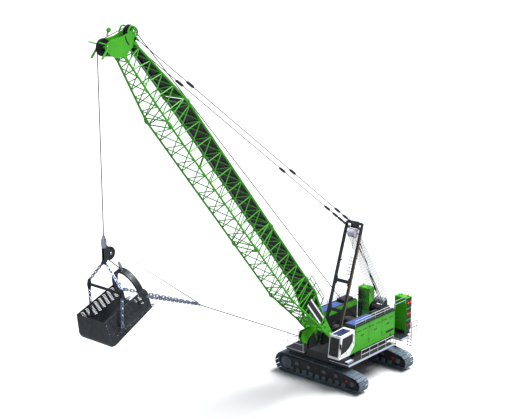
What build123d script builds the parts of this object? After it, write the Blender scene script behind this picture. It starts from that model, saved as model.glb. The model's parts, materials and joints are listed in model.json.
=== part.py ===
"""Duty-cycle crawler crane with lattice boom and dragline bucket.

Units are millimetres.  +X points from the slewing axis along the boom, +Y to the cab side, +Z up.
The ground is z = 0 and the origin lies under the middle of the whole machine, so the slewing
axis stands at x = slew_x.  The crawler tracks run along Y, square to the boom.
"""
from math import atan2, cos, degrees, hypot, pi, radians, sin, sqrt
import os

from build123d import *

os.makedirs("parts", exist_ok=True)

# ---------------------------------------------------------------- driving dimensions
running_fit = 0.05            # radial play of a shaft in its bore
seat_gap = 0.3                # play between parts that are only laid against each other
side_play = 6.0               # side play of a turning or swinging part
chain_play = 15.0             # side play of a chain's end link in its ears

# crawler tracks
track_gauge = 5850            # between track middles
shoe_width = 1100
shoe_thickness = 70
chain_height = 75             # link chain under the shoes
shoe_gap = 36
shoe_count = 52
sprocket_y, sprocket_r = -3135, 800        # outside radius over the shoes
idler_y, idler_r = 3315, 620
carrier_y, carrier_top, carrier_r = 2150, 1440, 300
roller_r = 150
roller_count = 10
wheel_width = 380
wheel_hub_r = 40
side_frame_width = 520

# carbody and slewing ring
carbody_width = 2500
carbody_length = 3000
beam_width = 760
carbody_bottom, carbody_top = 620, 1350
beam_top = 1240
ring_r, ring_height = 1350, 260

# superstructure
frame_bottom = 1790
frame_depth = 560
frame_half_width = 1120
frame_front, frame_rear = 3300, -4650
deck_z, deck_thickness = 1960, 90
deck_outer_y = 2880
deck_front, deck_rear = 3450, -2300
house_inner_y, house_outer_y = 1210, 2260
house_front, house_rear = 1850, -3200
house_bottom, house_top = 2440, 4420
panel = 55
door_count = 3
door_top, door_bottom = 4290, 2760
door_post = 80                # between two doors
hinge_r, hinge_pin_r = 26, 14
hinge_stand = hinge_r + seat_gap    # hinge axis out from its wall
rail_r, rail_inset, post_gap = 24, 50, 1100
rail_top = 2720               # the side doors swing over it
roof_rail = 380
platform_rail = 1000
ladder_foot, rung_pitch = 1660, 250    # the foot clears the tracks as the machine slews
ladder_width, ladder_side, ladder_stand = 500, 60, 300    # its top stays below the swinging doors
knuckle = 90

# cab
cab_inner_y, cab_outer_y = 1360, 2330
cab_rear, cab_front_top, cab_front_low = 2030, 3700, 3930
cab_floor_z, cab_roof_front, cab_roof_rear = 2470, 4160, 4240
cab_wall = 60
cab_post = 105

# counterweight
tower_front, tower_rear = -4760, -5440
tower_inner_y, tower_outer_y = 1180, 2270
slab_count = 3
slab_height = 890
slab_cut = 40                 # bevel of the slabs' front edges, which shows their seams
tower_base = 2200
base_height = 350

# boom
boom_angle = 50.1
foot_x, foot_z = 2900, 3570
boom_width, boom_depth = 1965, 1957        # between chord middles
short_bays = 8                # lacing bars on each face of a short section
chord_r = 68
collar_r, collar_length = 94, 190
lacing, end_bar = 62, 80
walkway_thickness = 30
foot_section, short_insert, long_insert = 6000, 6000, 12000
leg_plate = 110
foot_tube, foot_tube_r = 1130, 95          # cross tube that carries the fairlead

# boom head, in boom coordinates: along the boom from the foot pin, and up from its axis
head_axle = (30300, -1040)
rear_axle = (29590, 930)
pendant_pin = (29240, 780)
head_half, head_length = 380, 1320
head_plate = 40
rope_r = 16
head_sheave_r = 435           # to the rope's middle
rear_sheave_r = 330
pin_r = 45

# mast
mast_foot_x, mast_foot_z = 1620, 3570
mast_top_x, mast_top_z = -830, 10870
mast_leg_y = 680
mast_leg = (150, 190)
mast_beam, mast_cross = 350, 3680
pendant_y = 450
pendant_r = 24
pendant_plate = 60
pendant_drift = 48            # room of the mast's pin in the pendants' eyes

# winches: middle along the machine, height, drum radius, half length
hoist_winch = (-1000, 3350, 430, 700)
drag_winch = (520, 3150, 400, 640)
luffing_winch = (-4250, 3650, 330, 520)
shaft_r, winch_cheek = 60, 90

# hoist line and bucket
dump_block_drop = 11790       # dump sheave below the head axle
block_offset = 405            # dump sheave towards the machine
dump_sheave_r = 400
spreader_half = 1455
spreader_drop = 2050          # spreader bar below the dump sheave
chain_drop = 1960             # bucket trunnions below the spreader bar
eye_stand, eye_rise = 170, 240    # chain plates outside the bucket's side, and the height of their top pin
bucket_half = 1150
bucket_pitch = 21.0
bucket_plate = 45
bucket_depth = 1450
bucket_floor = 3560
tooth_length = 330
trunnion = (1010, 560)        # in bucket coordinates: from the heel towards the lip, and up
trunnion_r = 60
drag_eye = (3450, 900)
hang_wire, drag_wire, link_pin_r = 44, 56, 26
drag_pin_r = 40
ear_half = 45                 # half the thickness of the drag ears
drag_end = (15700, 9250)      # where the drag rope leaves its socket
drag_socket_length, clevis_length = 420, 410

# ---------------------------------------------------------------- places that follow
boom_a = radians(boom_angle)


def on_boom(along, up):
    """Machine x and z of a point given along the boom and up from its axis."""
    return (foot_x + along * cos(boom_a) - up * sin(boom_a),
            foot_z + along * sin(boom_a) + up * cos(boom_a))


head_x, head_z = on_boom(*head_axle)
line_x = head_x + head_sheave_r                     # the hoist rope hangs here
dump_x, dump_z = line_x - block_offset, head_z - dump_block_drop
spreader_z = dump_z - spreader_drop
bucket_a = radians(bucket_pitch)
trunnion_z = spreader_z - chain_drop


def bucket_origin():
    """Machine x and z of the bucket's heel, so that its trunnions hang under the spreader bar."""
    u, v = trunnion
    return (line_x + u * cos(bucket_a) - v * sin(bucket_a),
            trunnion_z - u * sin(bucket_a) - v * cos(bucket_a))


heel_x, heel_z = bucket_origin()


def on_bucket(u, v):
    """Machine x and z of a point given from the heel towards the lip, and up from the floor."""
    return (heel_x - u * cos(bucket_a) + v * sin(bucket_a),
            heel_z + u * sin(bucket_a) + v * cos(bucket_a))


front_reach = on_bucket(0, bucket_depth)[0]
slew_x = -(front_reach + tower_rear) / 2            # the origin is in the middle of the length


# ---------------------------------------------------------------- planes and small helpers
def side_plane(y=0.0):
    """Upright plane along the machine; sketch x is machine x, sketch y is height; it faces -Y."""
    return Plane(origin=(slew_x, y, 0), x_dir=(1, 0, 0), z_dir=(0, -1, 0))


def floor_plane(z):
    """Level plane; sketch x and y are machine x and y."""
    return Plane(origin=(slew_x, 0, z), x_dir=(1, 0, 0), z_dir=(0, 0, 1))


def front_plane(x):
    """Upright plane across the machine; sketch x is machine y, sketch y is height; it faces +X."""
    return Plane(origin=(slew_x + x, 0, 0), x_dir=(0, 1, 0), z_dir=(1, 0, 0))


def boom_plane(y=0.0):
    """Plane along the boom; sketch x runs from the foot pin to the head, sketch y up from the axis."""
    return Plane(origin=(slew_x + foot_x, y, foot_z), x_dir=(cos(boom_a), 0, sin(boom_a)), z_dir=(0, -1, 0))


def bucket_plane(y=0.0):
    """Plane along the bucket; sketch x runs from heel to lip, sketch y up from the floor; faces +Y."""
    return Plane(origin=(slew_x + heel_x, y, heel_z), x_dir=(-cos(bucket_a), 0, sin(bucket_a)), z_dir=(0, 1, 0))


def finish(builder, node):
    """Label a finished piece and write it."""
    builder.part.label = node
    export_step(builder.part, f"parts/{node}.step")


def rod(start, end, radius, sides=0):
    """Add a round or many-sided bar between two points of the machine to the open part."""
    a, b = Vector(*start) + Vector(slew_x, 0, 0), Vector(*end) + Vector(slew_x, 0, 0)
    with BuildSketch(Plane(origin=a, z_dir=(b - a))) as section:
        if sides:
            RegularPolygon(radius, sides)
        else:
            Circle(radius)
    extrude(section.sketch, amount=(b - a).length)


def block(x0, x1, y0, y1, z0, z1, mode=Mode.ADD):
    """Add a box given by its machine limits to the open part."""
    with BuildSketch(floor_plane(z0)) as section:
        with Locations(((x0 + x1) / 2, (y0 + y1) / 2)):
            Rectangle(abs(x1 - x0), abs(y1 - y0))
    extrude(section.sketch, amount=z1 - z0, mode=mode)


def disc(plane, centre, radius, half, bore=0.0):
    """Add a disc or ring, half to each side of an upright plane."""
    with BuildSketch(plane) as section:
        with Locations(centre):
            Circle(radius)
            if bore:
                Circle(bore, mode=Mode.SUBTRACT)
    extrude(section.sketch, amount=half, both=True)


def hinge_pins(x, y, away, heights):
    """Fixed halves of a hinge: pins with a sleeve and a leaf on the frame beside them."""
    for z in heights:
        rod((x, y, z), (x, y, z + 2 * knuckle - side_play), hinge_pin_r)
        rod((x, y, z), (x, y, z + knuckle - side_play), hinge_r)
        inward = -1 if y > 0 else 1
        block(min(x, x + away * 60), max(x, x + away * 60), y, y + inward * (hinge_r + 2),
              z, z + knuckle - side_play)


def hinge_knuckles(x, y, away, heights):
    """Moving halves of the same hinge: sleeves with a leaf on the door."""
    for z in heights:
        inward = -1 if y > 0 else 1
        block(min(x, x - away * 60), max(x, x - away * 60), y, y + inward * (hinge_r + 2),
              z + knuckle, z + 2 * knuckle - side_play)
        rod((x, y, z + knuckle), (x, y, z + 2 * knuckle - side_play), hinge_r)
        with BuildSketch(floor_plane(z + knuckle)) as bore:
            with Locations((x, y)):
                Circle(hinge_pin_r + running_fit)
        extrude(bore.sketch, amount=knuckle - side_play, mode=Mode.SUBTRACT)


# ---------------------------------------------------------------- crawler tracks
def belt(circles):
    """Outline of a belt round circles (y, z, radius) listed clockwise seen from +X, as tangent points.

    Each entry of the result is (circle, angle in, angle out), so that lines join them.
    """
    turns = []
    n = len(circles)
    for i, (y0, z0, r0) in enumerate(circles):
        y1, z1, r1 = circles[(i + 1) % n]
        along = atan2(z1 - z0, y1 - y0)
        lean = (r0 - r1) / hypot(y1 - y0, z1 - z0)
        turns.append(along + pi / 2 - asin_safe(lean))
    return [((circles[i]), turns[i - 1], turns[i]) for i in range(n)]


def asin_safe(value):
    """Arc sine as an arc tangent."""
    return atan2(value, sqrt(1 - value * value))


def belt_points(circles):
    """Walk round a belt: a list of (y, z, angle of the outward normal) at the ends of lines and arcs."""
    path = []
    for (y, z, r), a_in, a_out in belt(circles):
        while a_out > a_in:
            a_out -= 2 * pi
        path.append((y, z, r, a_in, a_out))
    return path


def belt_length(path):
    """Length of each arc and each line that follows it."""
    lengths = []
    n = len(path)
    for i, (y, z, r, a_in, a_out) in enumerate(path):
        y1, z1, r1, b_in, _ = path[(i + 1) % n]
        start = (y + r * cos(a_out), z + r * sin(a_out))
        end = (y1 + r1 * cos(b_in), z1 + r1 * sin(b_in))
        lengths.append((r * (a_in - a_out), hypot(end[0] - start[0], end[1] - start[1]), start, end))
    return lengths


def belt_at(path, distance):
    """Point and outward normal angle at a distance along the belt."""
    for (y, z, r, a_in, a_out), (arc, line, start, end) in zip(path, belt_length(path)):
        if distance <= arc:
            a = a_in - distance / r
            return y + r * cos(a), z + r * sin(a), a
        distance -= arc
        if distance <= line:
            t = distance / line
            return start[0] + t * (end[0] - start[0]), start[1] + t * (end[1] - start[1]), a_out
        distance -= line
    return belt_at(path, distance - 1e-6) if distance > 1e-3 else belt_at(path, 0.0)


carrier_z = carrier_top - carrier_r
track_circles = [
    (sprocket_y, sprocket_r, sprocket_r),
    (carrier_y, carrier_z, carrier_r),
    (idler_y, idler_r, idler_r),
]
link_depth = shoe_thickness + chain_height
chain_path = belt_points([(y, z, r - shoe_thickness) for y, z, r in track_circles])
inner_path = belt_points([(y, z, r - link_depth) for y, z, r in track_circles])
chain_length = sum(arc + line for arc, line, _, _ in belt_length(chain_path))


def shoe_outline():
    """Outline of the loop over the shoes: each shoe is a straight plate, with a notch to the next."""
    points = []
    pitch = chain_length / shoe_count
    for i in range(shoe_count):
        middle = i * pitch
        y0, z0, a0 = belt_at(chain_path, (middle - pitch / 2 + shoe_gap / 2) % chain_length)
        y1, z1, a1 = belt_at(chain_path, (middle + pitch / 2 - shoe_gap / 2) % chain_length)
        normal = atan2(z1 - z0, y1 - y0) + pi / 2
        lift_y, lift_z = shoe_thickness * cos(normal), shoe_thickness * sin(normal)
        points += [(y0, z0), (y0 + lift_y, z0 + lift_z), (y1 + lift_y, z1 + lift_z), (y1, z1)]
    return points


for side, name in ((1, "near"), (-1, "far")):
    track_x = side * track_gauge / 2
    with BuildPart() as track:
        with BuildSketch(front_plane(track_x)) as section:
            with BuildLine():
                Polyline(*shoe_outline(), close=True)
            make_face()
            with BuildLine():
                lengths = belt_length(inner_path)
                for (y, z, r, a_in, a_out), (arc, line, start, end) in zip(inner_path, lengths):
                    first = (y + r * cos(a_in), z + r * sin(a_in))
                    middle = (y + r * cos((a_in + a_out) / 2), z + r * sin((a_in + a_out) / 2))
                    ThreePointArc(first, middle, start)
                    Line(start, end)
            make_face(mode=Mode.SUBTRACT)
        extrude(amount=shoe_width / 2, both=True)
    finish(track, f"track_{name}")

    # sprocket, idler, carrier and track rollers, each a wheel of its own inside the loop
    with BuildPart() as wheels:
        wheel_gap = link_depth + seat_gap
        first, last = sprocket_y + 780, idler_y - 640
        rollers = [(first + (last - first) * i / (roller_count - 1), wheel_gap + roller_r, roller_r)
                   for i in range(roller_count)]
        big = [(y, z, r - wheel_gap) for y, z, r in track_circles]
        for y, z, r in big + rollers:
            disc(front_plane(track_x), (y, z), r, wheel_width / 2)
            disc(front_plane(track_x), (y, z), wheel_hub_r, wheel_width / 2 + side_play - seat_gap)
    finish(wheels, f"track_wheels_{name}")

    # side frame: a box beam beside the wheels' middles, open round them
    with BuildPart() as side_frame:
        for offset in (-1, 1):
            plate_x = track_x + offset * (wheel_width / 2 + side_play + 35)
            with BuildSketch(front_plane(plate_x)) as plate:
                with BuildLine():
                    Polyline((sprocket_y - 120, 470), (sprocket_y + 500, 250), (idler_y - 500, 250),
                             (idler_y + 110, 470), (idler_y + 110, 760), (carrier_y + 150, 1200),
                             (sprocket_y + 700, 1250), (sprocket_y - 120, 1080), close=True)
                make_face()
            extrude(plate.sketch, amount=35, both=True)
        block(track_x - wheel_width / 2 - 45, track_x + wheel_width / 2 + 45,
              sprocket_y + sprocket_r, idler_y - idler_r - 30, 480, 970)
        for y, z in ((sprocket_y, sprocket_r), (idler_y, idler_r)):
            disc(front_plane(track_x + side * (wheel_width / 2 + side_play + 90)), (y, z), 190, 60)
    finish(side_frame, f"side_frame_{name}")

# ---------------------------------------------------------------- carbody and slewing ring
frame_face = track_gauge / 2 - wheel_width / 2 - side_play - 70
with BuildPart() as carbody:
    with BuildSketch(floor_plane(carbody_bottom)) as plan:
        Rectangle(carbody_width, carbody_length)
    extrude(plan.sketch, amount=carbody_top - carbody_bottom)
    for side in (-1, 1):
        y = side * (carbody_length - beam_width) / 2
        block(-frame_face + seat_gap, frame_face - seat_gap, y - beam_width / 2, y + beam_width / 2,
              carbody_bottom, beam_top)
    with BuildSketch(floor_plane(carbody_top)) as drum:
        Circle(ring_r - 60)
    extrude(drum.sketch, amount=frame_bottom - ring_height - carbody_top)
finish(carbody, "carbody")

with BuildPart() as slew_ring:
    with BuildSketch(floor_plane(frame_bottom - ring_height)) as ring:
        Circle(ring_r)
        Circle(ring_r - 220, mode=Mode.SUBTRACT)
    extrude(ring.sketch, amount=ring_height - seat_gap)
finish(slew_ring, "slew_ring")

# ---------------------------------------------------------------- main frame and decks
frame_top = frame_bottom + frame_depth
lug_y = boom_width / 2
with BuildPart() as main_frame:
    block(frame_rear, frame_front, -frame_half_width, frame_half_width, frame_bottom, frame_top)
    for side in (-1, 1):
        # boom foot lugs, two plates round each leg
        for outside in (-1, 1):
            y = side * lug_y + outside * (leg_plate / 2 + side_play + 30)
            with BuildSketch(side_plane(y)) as lug:
                with BuildLine():
                    Polyline((foot_x - 720, frame_top - 20), (foot_x - 190, foot_z + 30),
                             (foot_x + 190, foot_z + 30), (foot_x + 330, frame_top - 20), close=True)
                make_face()
                with Locations((foot_x, foot_z)):
                    Circle(190)
            extrude(lug.sketch, amount=30, both=True)
        # mast foot lugs inside them
        for outside in (-1, 1):
            y = side * mast_leg_y + outside * (mast_leg[0] / 2 + side_play + 25)
            with BuildSketch(side_plane(y)) as lug:
                with BuildLine():
                    Polyline((mast_foot_x - 380, frame_top - 20), (mast_foot_x - 150, mast_foot_z),
                             (mast_foot_x + 150, mast_foot_z), (mast_foot_x + 380, frame_top - 20),
                             close=True)
                make_face()
                with Locations((mast_foot_x, mast_foot_z)):
                    Circle(150)
            extrude(lug.sketch, amount=25, both=True)
        # pins through both
        disc(side_plane(side * lug_y), (foot_x, foot_z), pin_r + 25, leg_plate / 2 + side_play + 90)
        disc(side_plane(side * mast_leg_y), (mast_foot_x, mast_foot_z), pin_r + 10,
             mast_leg[0] / 2 + side_play + 50)
finish(main_frame, "main_frame")

with BuildPart() as walkways:
    for side in (-1, 1):
        y0, y1 = frame_half_width + seat_gap, deck_outer_y
        block(deck_rear, deck_front, side * y0, side * y1, deck_z, deck_z + deck_thickness)
        for x in (deck_rear + 60, -300, 1500, deck_front - 60):
            block(x - 40, x + 40, side * y0, side * (y1 - 60), deck_z - 100, deck_z)
        for y in (house_inner_y + 120, house_outer_y - 160):
            block(house_rear + 40, house_front - 40, side * (y - 60), side * (y + 60),
                  deck_z + deck_thickness, house_bottom - seat_gap)
        for x in (house_rear + 100, deck_rear - 160):
            block(x - 60, x + 60, side * y0, side * (house_outer_y - 100), deck_z + deck_thickness - 10,
                  frame_top - 20)
finish(walkways, "walkways")

# ---------------------------------------------------------------- handrails and ladder
def rail_run(points, rail_r, post_gap, low, high):
    """Handrail along straight runs between points (x, y): posts from low to high, a top and a knee rail."""
    for (x0, y0), (x1, y1) in zip(points, points[1:]):
        run = hypot(x1 - x0, y1 - y0)
        count = max(1, round(run / post_gap))
        for z in (high, (low + high) / 2):
            rod((x0, y0, z), (x1, y1, z), rail_r, 8)
        for i in range(count + 1):
            x, y = x0 + (x1 - x0) * i / count, y0 + (y1 - y0) * i / count
            rod((x, y, low), (x, y, high), rail_r, 8)


deck_top = deck_z + deck_thickness
ladder_x = deck_rear - ladder_stand
ladder_y = (deck_outer_y - ladder_side - ladder_width, deck_outer_y - ladder_side)
with BuildPart() as handrails:
    for side in (-1, 1):
        rail_y = side * (deck_outer_y - rail_inset)
        rail_run([(deck_rear + rail_inset, rail_y), (house_front, rail_y)], rail_r, post_gap,
                 deck_top + seat_gap, rail_top)
        # low rails along the outer edges of the house roofs
        roof_y = side * (house_outer_y - rail_inset)
        rail_run([(house_rear + rail_inset, roof_y), (house_front - rail_inset, roof_y)], rail_r, post_gap,
                 house_top + seat_gap, house_top + roof_rail)
    # round the right front platform
    rail_run([(house_front + 150, -deck_outer_y + rail_inset), (deck_front - rail_inset, -deck_outer_y + rail_inset),
              (deck_front - rail_inset, -lug_y - 320)], rail_r, post_gap, deck_top + seat_gap, deck_top + platform_rail)
finish(handrails, "handrails")

with BuildPart() as ladder:
    for y in ladder_y:
        rod((ladder_x, y, ladder_foot), (ladder_x, y, rail_top), rail_r, 8)
        block(ladder_x, deck_rear - seat_gap, y - 20, y + 20, deck_z, deck_z + 60)
    for i in range(round((deck_top - ladder_foot) / rung_pitch)):
        z = ladder_foot + 30 + i * rung_pitch
        block(ladder_x - 25, ladder_x + 25, *ladder_y, z, z + 30)
finish(ladder, "rear_ladder")

# ---------------------------------------------------------------- machinery houses and their doors
door_length = (house_front - house_rear - (door_count + 1) * door_post) / door_count
door_heights = (door_bottom + 200, door_top - 200 - 2 * knuckle)
for side, name in ((1, "left"), (-1, "right")):
    hinge_y = side * (house_outer_y + hinge_stand)
    with BuildPart() as house:
        block(house_rear, house_front, side * house_inner_y, side * house_outer_y, house_bottom, house_top)
        block(house_rear + panel, house_front - panel, side * (house_inner_y + panel),
              side * (house_outer_y - panel), house_bottom + panel, house_top - panel, mode=Mode.SUBTRACT)
        for i in range(door_count):
            x1 = house_front - door_post - i * (door_length + door_post)
            block(x1 - door_length, x1, side * (house_outer_y - panel - 1), side * (house_outer_y + 1),
                  door_bottom, door_top, mode=Mode.SUBTRACT)
            hinge_pins(x1, hinge_y, 1, door_heights)
            # roof hatch over each bay
            with BuildSketch(floor_plane(house_top - 10)) as hatch:
                with Locations((x1 - door_length / 2, side * (house_inner_y + house_outer_y) / 2)):
                    RectangleRounded(door_length - 120, house_outer_y - house_inner_y - 240, 60)
            extrude(hatch.sketch, amount=45)
        # drip edge along the roof's outer side
        block(house_rear, house_front, side * (house_outer_y - 10), side * (house_outer_y + 28),
              house_top - 40, house_top)
    finish(house, f"house_{name}")
    for i in range(door_count):
        x1 = house_front - door_post - i * (door_length + door_post)
        with BuildPart() as door:
            block(x1 - door_length + side_play, x1 - side_play, side * (house_outer_y - panel),
                  side * house_outer_y, door_bottom + side_play, door_top - side_play)
            hinge_knuckles(x1, hinge_y, 1, door_heights)
        finish(door, f"house_door_{name}_{i + 1}")

with BuildPart() as engine:
    block(house_rear + 700, house_rear + 2900, house_inner_y + 130, house_outer_y - 180,
          house_bottom + panel + seat_gap, house_bottom + 1350)
finish(engine, "engine")

# ---------------------------------------------------------------- cab
def cab_outline(inset=0.0):
    """Side outline of the cab: roof, windscreen, floor and the raked lower rear corner."""
    return [(cab_rear + inset, cab_floor_z + 620), (cab_rear + inset, cab_roof_rear - inset),
            (cab_front_top - inset, cab_roof_front - inset), (cab_front_low - inset, cab_floor_z + inset),
            (cab_rear + 560, cab_floor_z + inset)]


cab_hinge_x = cab_rear + cab_post
cab_hinge_heights = (cab_floor_z + 800, cab_roof_rear - 450)
with BuildPart() as cab:
    cab_middle = (cab_inner_y + cab_outer_y) / 2
    cab_half = (cab_outer_y - cab_inner_y) / 2
    with BuildSketch(side_plane(cab_middle)) as outline:
        with BuildLine():
            Polyline(*cab_outline(), close=True)
        make_face()
    extrude(outline.sketch, amount=cab_half, both=True)
    with BuildSketch(side_plane(cab_middle)) as room:
        with BuildLine():
            Polyline(*cab_outline(cab_wall), close=True)
        make_face()
    extrude(room.sketch, amount=cab_half - cab_wall, both=True, mode=Mode.SUBTRACT)
    # door opening on the outside, window on the inside, windscreen and roof light
    with BuildSketch(side_plane(cab_outer_y)) as opening:
        with BuildLine():
            Polyline(*cab_outline(cab_post), close=True)
        make_face()
    extrude(opening.sketch, amount=cab_wall + 1, mode=Mode.SUBTRACT)
    with BuildSketch(side_plane(cab_inner_y)) as window:
        with BuildLine():
            Polyline(*cab_outline(cab_post), close=True)
        make_face()
    extrude(window.sketch, amount=-(cab_wall + 1), mode=Mode.SUBTRACT)
    block(cab_front_top - 250, cab_front_low + 50, cab_inner_y + cab_post, cab_outer_y - cab_post,
          cab_floor_z + 190, cab_roof_front - cab_post - 60, mode=Mode.SUBTRACT)
    block(cab_rear + 420, cab_front_top - 260, cab_inner_y + cab_post + 60, cab_outer_y - cab_post - 60,
          cab_roof_front - 200, cab_roof_rear + 50, mode=Mode.SUBTRACT)
    hinge_pins(cab_hinge_x, cab_outer_y + hinge_stand, -1, cab_hinge_heights)
finish(cab, "cab")

with BuildPart() as cab_door:
    with BuildSketch(side_plane(cab_outer_y)) as leaf:
        with BuildLine():
            Polyline(*cab_outline(cab_post + side_play), close=True)
        make_face()
        with BuildLine():
            Polyline(*cab_outline(cab_post + 95), close=True)
        make_face(mode=Mode.SUBTRACT)
    extrude(leaf.sketch, amount=cab_wall - 10)
    hinge_knuckles(cab_hinge_x, cab_outer_y + hinge_stand, -1, cab_hinge_heights)
finish(cab_door, "cab_door")

# console that carries the cab on the deck
with BuildPart() as console:
    with BuildSketch(side_plane(cab_middle)) as outline:
        with BuildLine():
            Polyline((cab_rear + 600, cab_floor_z - seat_gap), (cab_front_low - 60, cab_floor_z - seat_gap),
                     (deck_front - 40, deck_z + deck_thickness + seat_gap),
                     (cab_rear + 250, deck_z + deck_thickness + seat_gap), close=True)
        make_face()
    extrude(outline.sketch, amount=cab_half - 60, both=True)
finish(console, "cab_console")

with BuildPart() as seat:
    sx = cab_rear + 700
    block(sx, sx + 520, cab_middle - 260, cab_middle + 260, cab_floor_z + cab_wall + seat_gap,
          cab_floor_z + 560)
    block(sx - 80, sx + 60, cab_middle - 240, cab_middle + 240, cab_floor_z + 500, cab_floor_z + 1250)
finish(seat, "operator_seat")

# ---------------------------------------------------------------- counterweight
with BuildPart() as carrier:
    block(tower_rear + 20, frame_rear - seat_gap, -tower_outer_y + 60, tower_outer_y - 60,
          tower_base - base_height, tower_base - seat_gap)
finish(carrier, "counterweight_carrier")
for side, name in ((1, "left"), (-1, "right")):
    with BuildPart() as tower:
        for i in range(slab_count):
            low = tower_base + i * slab_height
            with BuildSketch(side_plane(side * (tower_inner_y + tower_outer_y) / 2)) as slab:
                with BuildLine():
                    Polyline((tower_rear, low), (tower_front - slab_cut, low), (tower_front, low + slab_cut),
                             (tower_front, low + slab_height - slab_cut),
                             (tower_front - slab_cut, low + slab_height - seat_gap),
                             (tower_rear, low + slab_height - seat_gap), close=True)
                make_face()
            extrude(slab.sketch, amount=(tower_outer_y - tower_inner_y) / 2, both=True)
            # recess for the lifting ear on the outer face, and the ear in it
            with BuildSketch(side_plane(side * tower_outer_y)) as recess:
                with Locations(((tower_rear + tower_front) / 2, low + slab_height - 170)):
                    Rectangle(260, 180)
            extrude(recess.sketch, amount=40, both=True, mode=Mode.SUBTRACT)
            rod(((tower_rear + tower_front) / 2 - 140, side * (tower_outer_y - 25), low + slab_height - 170),
                ((tower_rear + tower_front) / 2 + 140, side * (tower_outer_y - 25), low + slab_height - 170), 22, 8)
        # lifting lugs on top
        top_z = tower_base + slab_count * slab_height - seat_gap
        for x in (tower_rear + 170, tower_front - 170):
            block(x - 60, x + 60, side * (tower_inner_y + 300), side * (tower_inner_y + 340), top_z - 20, top_z + 90)
    finish(tower, f"counterweight_{name}")

# ---------------------------------------------------------------- winches
for node, (x, z, r, half) in (("hoist_drum", hoist_winch), ("drag_drum", drag_winch),
                              ("luffing_drum", luffing_winch)):
    with BuildPart() as drum:
        disc(side_plane(), (x, z), r, half)
        disc(side_plane(), (x, z), shaft_r, half + side_play + winch_cheek)
        for side in (-1, 1):
            disc(side_plane(side * (half - 25)), (x, z), r + 150, 25)
    finish(drum, node)

with BuildPart() as winch_frame:
    for x, z, r, half in (hoist_winch, drag_winch, luffing_winch):
        for side in (-1, 1):
            y = side * (half + side_play + winch_cheek / 2)
            with BuildSketch(side_plane(y)) as cheek:
                with BuildLine():
                    Polyline((x - r, frame_top + seat_gap), (x - 170, z), (x + 170, z),
                             (x + r, frame_top + seat_gap), close=True)
                make_face()
                with Locations((x, z)):
                    Circle(170)
                    Circle(shaft_r + running_fit, mode=Mode.SUBTRACT)
            extrude(cheek.sketch, amount=winch_cheek / 2, both=True)
finish(winch_frame, "winch_frame")

# ---------------------------------------------------------------- lattice boom
half_w, half_d = boom_width / 2, boom_depth / 2


def boom_point(along, up, y):
    """A point given in boom coordinates, as a point of the machine."""
    x, z = on_boom(along, up)
    return (x, y, z)


def lacing_face(first, second, turns):
    """Lacing of one flat face between two chords: bars to and fro, and a cross bar at each end.

    first and second are the middle lines of the chords, each ((along, up, y), (along, up, y)).  The
    bars are cut off just clear of the chords.
    """
    a0, a1 = (Vector(*boom_point(*p)) + Vector(slew_x, 0, 0) for p in first)
    b0, b1 = (Vector(*boom_point(*p)) + Vector(slew_x, 0, 0) for p in second)
    plane = Plane(origin=a0, x_dir=a1 - a0, z_dir=(a1 - a0).cross(b0 - a0))
    a0, a1, b0, b1 = (plane.to_local_coords(p) for p in (a0, a1, b0, b1))
    stops = []
    for i in range(turns + 1):
        t = i / turns
        stops.append((a0 + (a1 - a0) * t, b0 + (b1 - b0) * t)[i % 2])
    bars = [(stops[i], stops[i + 1], lacing) for i in range(turns)]
    bars += [(a0, b0, end_bar), (a1, b1, end_bar)]
    clear = chord_r + seat_gap
    lean = (b1 - b0).normalized()
    inward = Vector(lean.Y, -lean.X, 0) * clear
    with BuildSketch(plane) as face:
        for start, end, thickness in bars:
            run = end - start
            middle = (start + end) / 2
            with Locations((middle.X, middle.Y)):
                Rectangle(run.length, thickness, rotation=degrees(atan2(run.Y, run.X)))
        with BuildLine():
            Polyline((a0.X - end_bar, clear), (a1.X + end_bar, clear),
                     tuple(b1 + inward + lean * end_bar)[:2], tuple(b0 + inward - lean * end_bar)[:2],
                     close=True)
        make_face(mode=Mode.INTERSECT)
    extrude(face.sketch, amount=lacing / 2, both=True)


def lattice(start, end, size0, size1, turns):
    """A lattice section: four chords with collars, cross bars at both ends, and lacing on four faces.

    size0 and size1 are (half width, half depth above, half depth below) at its two ends.
    """
    ends = {}
    for side in (-1, 1):
        for level in (-1, 1):
            w0, w1 = side * size0[0], side * size1[0]
            n0 = size0[1] if level > 0 else -size0[2]
            n1 = size1[1] if level > 0 else -size1[2]
            p0, p1 = Vector(start, n0, w0), Vector(end, n1, w1)
            run = (p1 - p0).normalized()
            # a leaning collar's corner would pass the joint, so it stops that much short of it
            stop = seat_gap + collar_r * hypot(run.Y, run.Z)
            p0, p1 = p0 + run * stop, p1 - run * stop
            ends[side, level] = (p0, p1)
            rod(boom_point(*p0), boom_point(*p1), chord_r)
            rod(boom_point(*p0), boom_point(*(p0 + run * collar_length)), collar_r, 8)
            rod(boom_point(*(p1 - run * collar_length)), boom_point(*p1), collar_r, 8)
    # the left and upper lacing starts on the upper left chord, the right lacing on the lower one
    faces = (((1, 1), (-1, 1)), ((1, -1), (-1, -1)), ((1, 1), (1, -1)), ((-1, -1), (-1, 1)))
    for one, two in faces:
        chords = []
        for key in (one, two):
            p0, p1 = ends[key]
            run = (p1 - p0).normalized() * (collar_length + end_bar)
            chords.append((p0 + run, p1 - run))
        lacing_face(*chords, turns)


full_size = (half_w, half_d, half_d)
head_size = (head_half + 30, 570, 490)
leg_end = 1700
leg_size = (half_w, 270, 270)
taper_end = 4500              # the upper chords run straight to here, the lower ones to the section's end
taper_size = (half_w, half_d, 270 + (half_d - 270) * (taper_end - leg_end) / (foot_section - leg_end))

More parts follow.
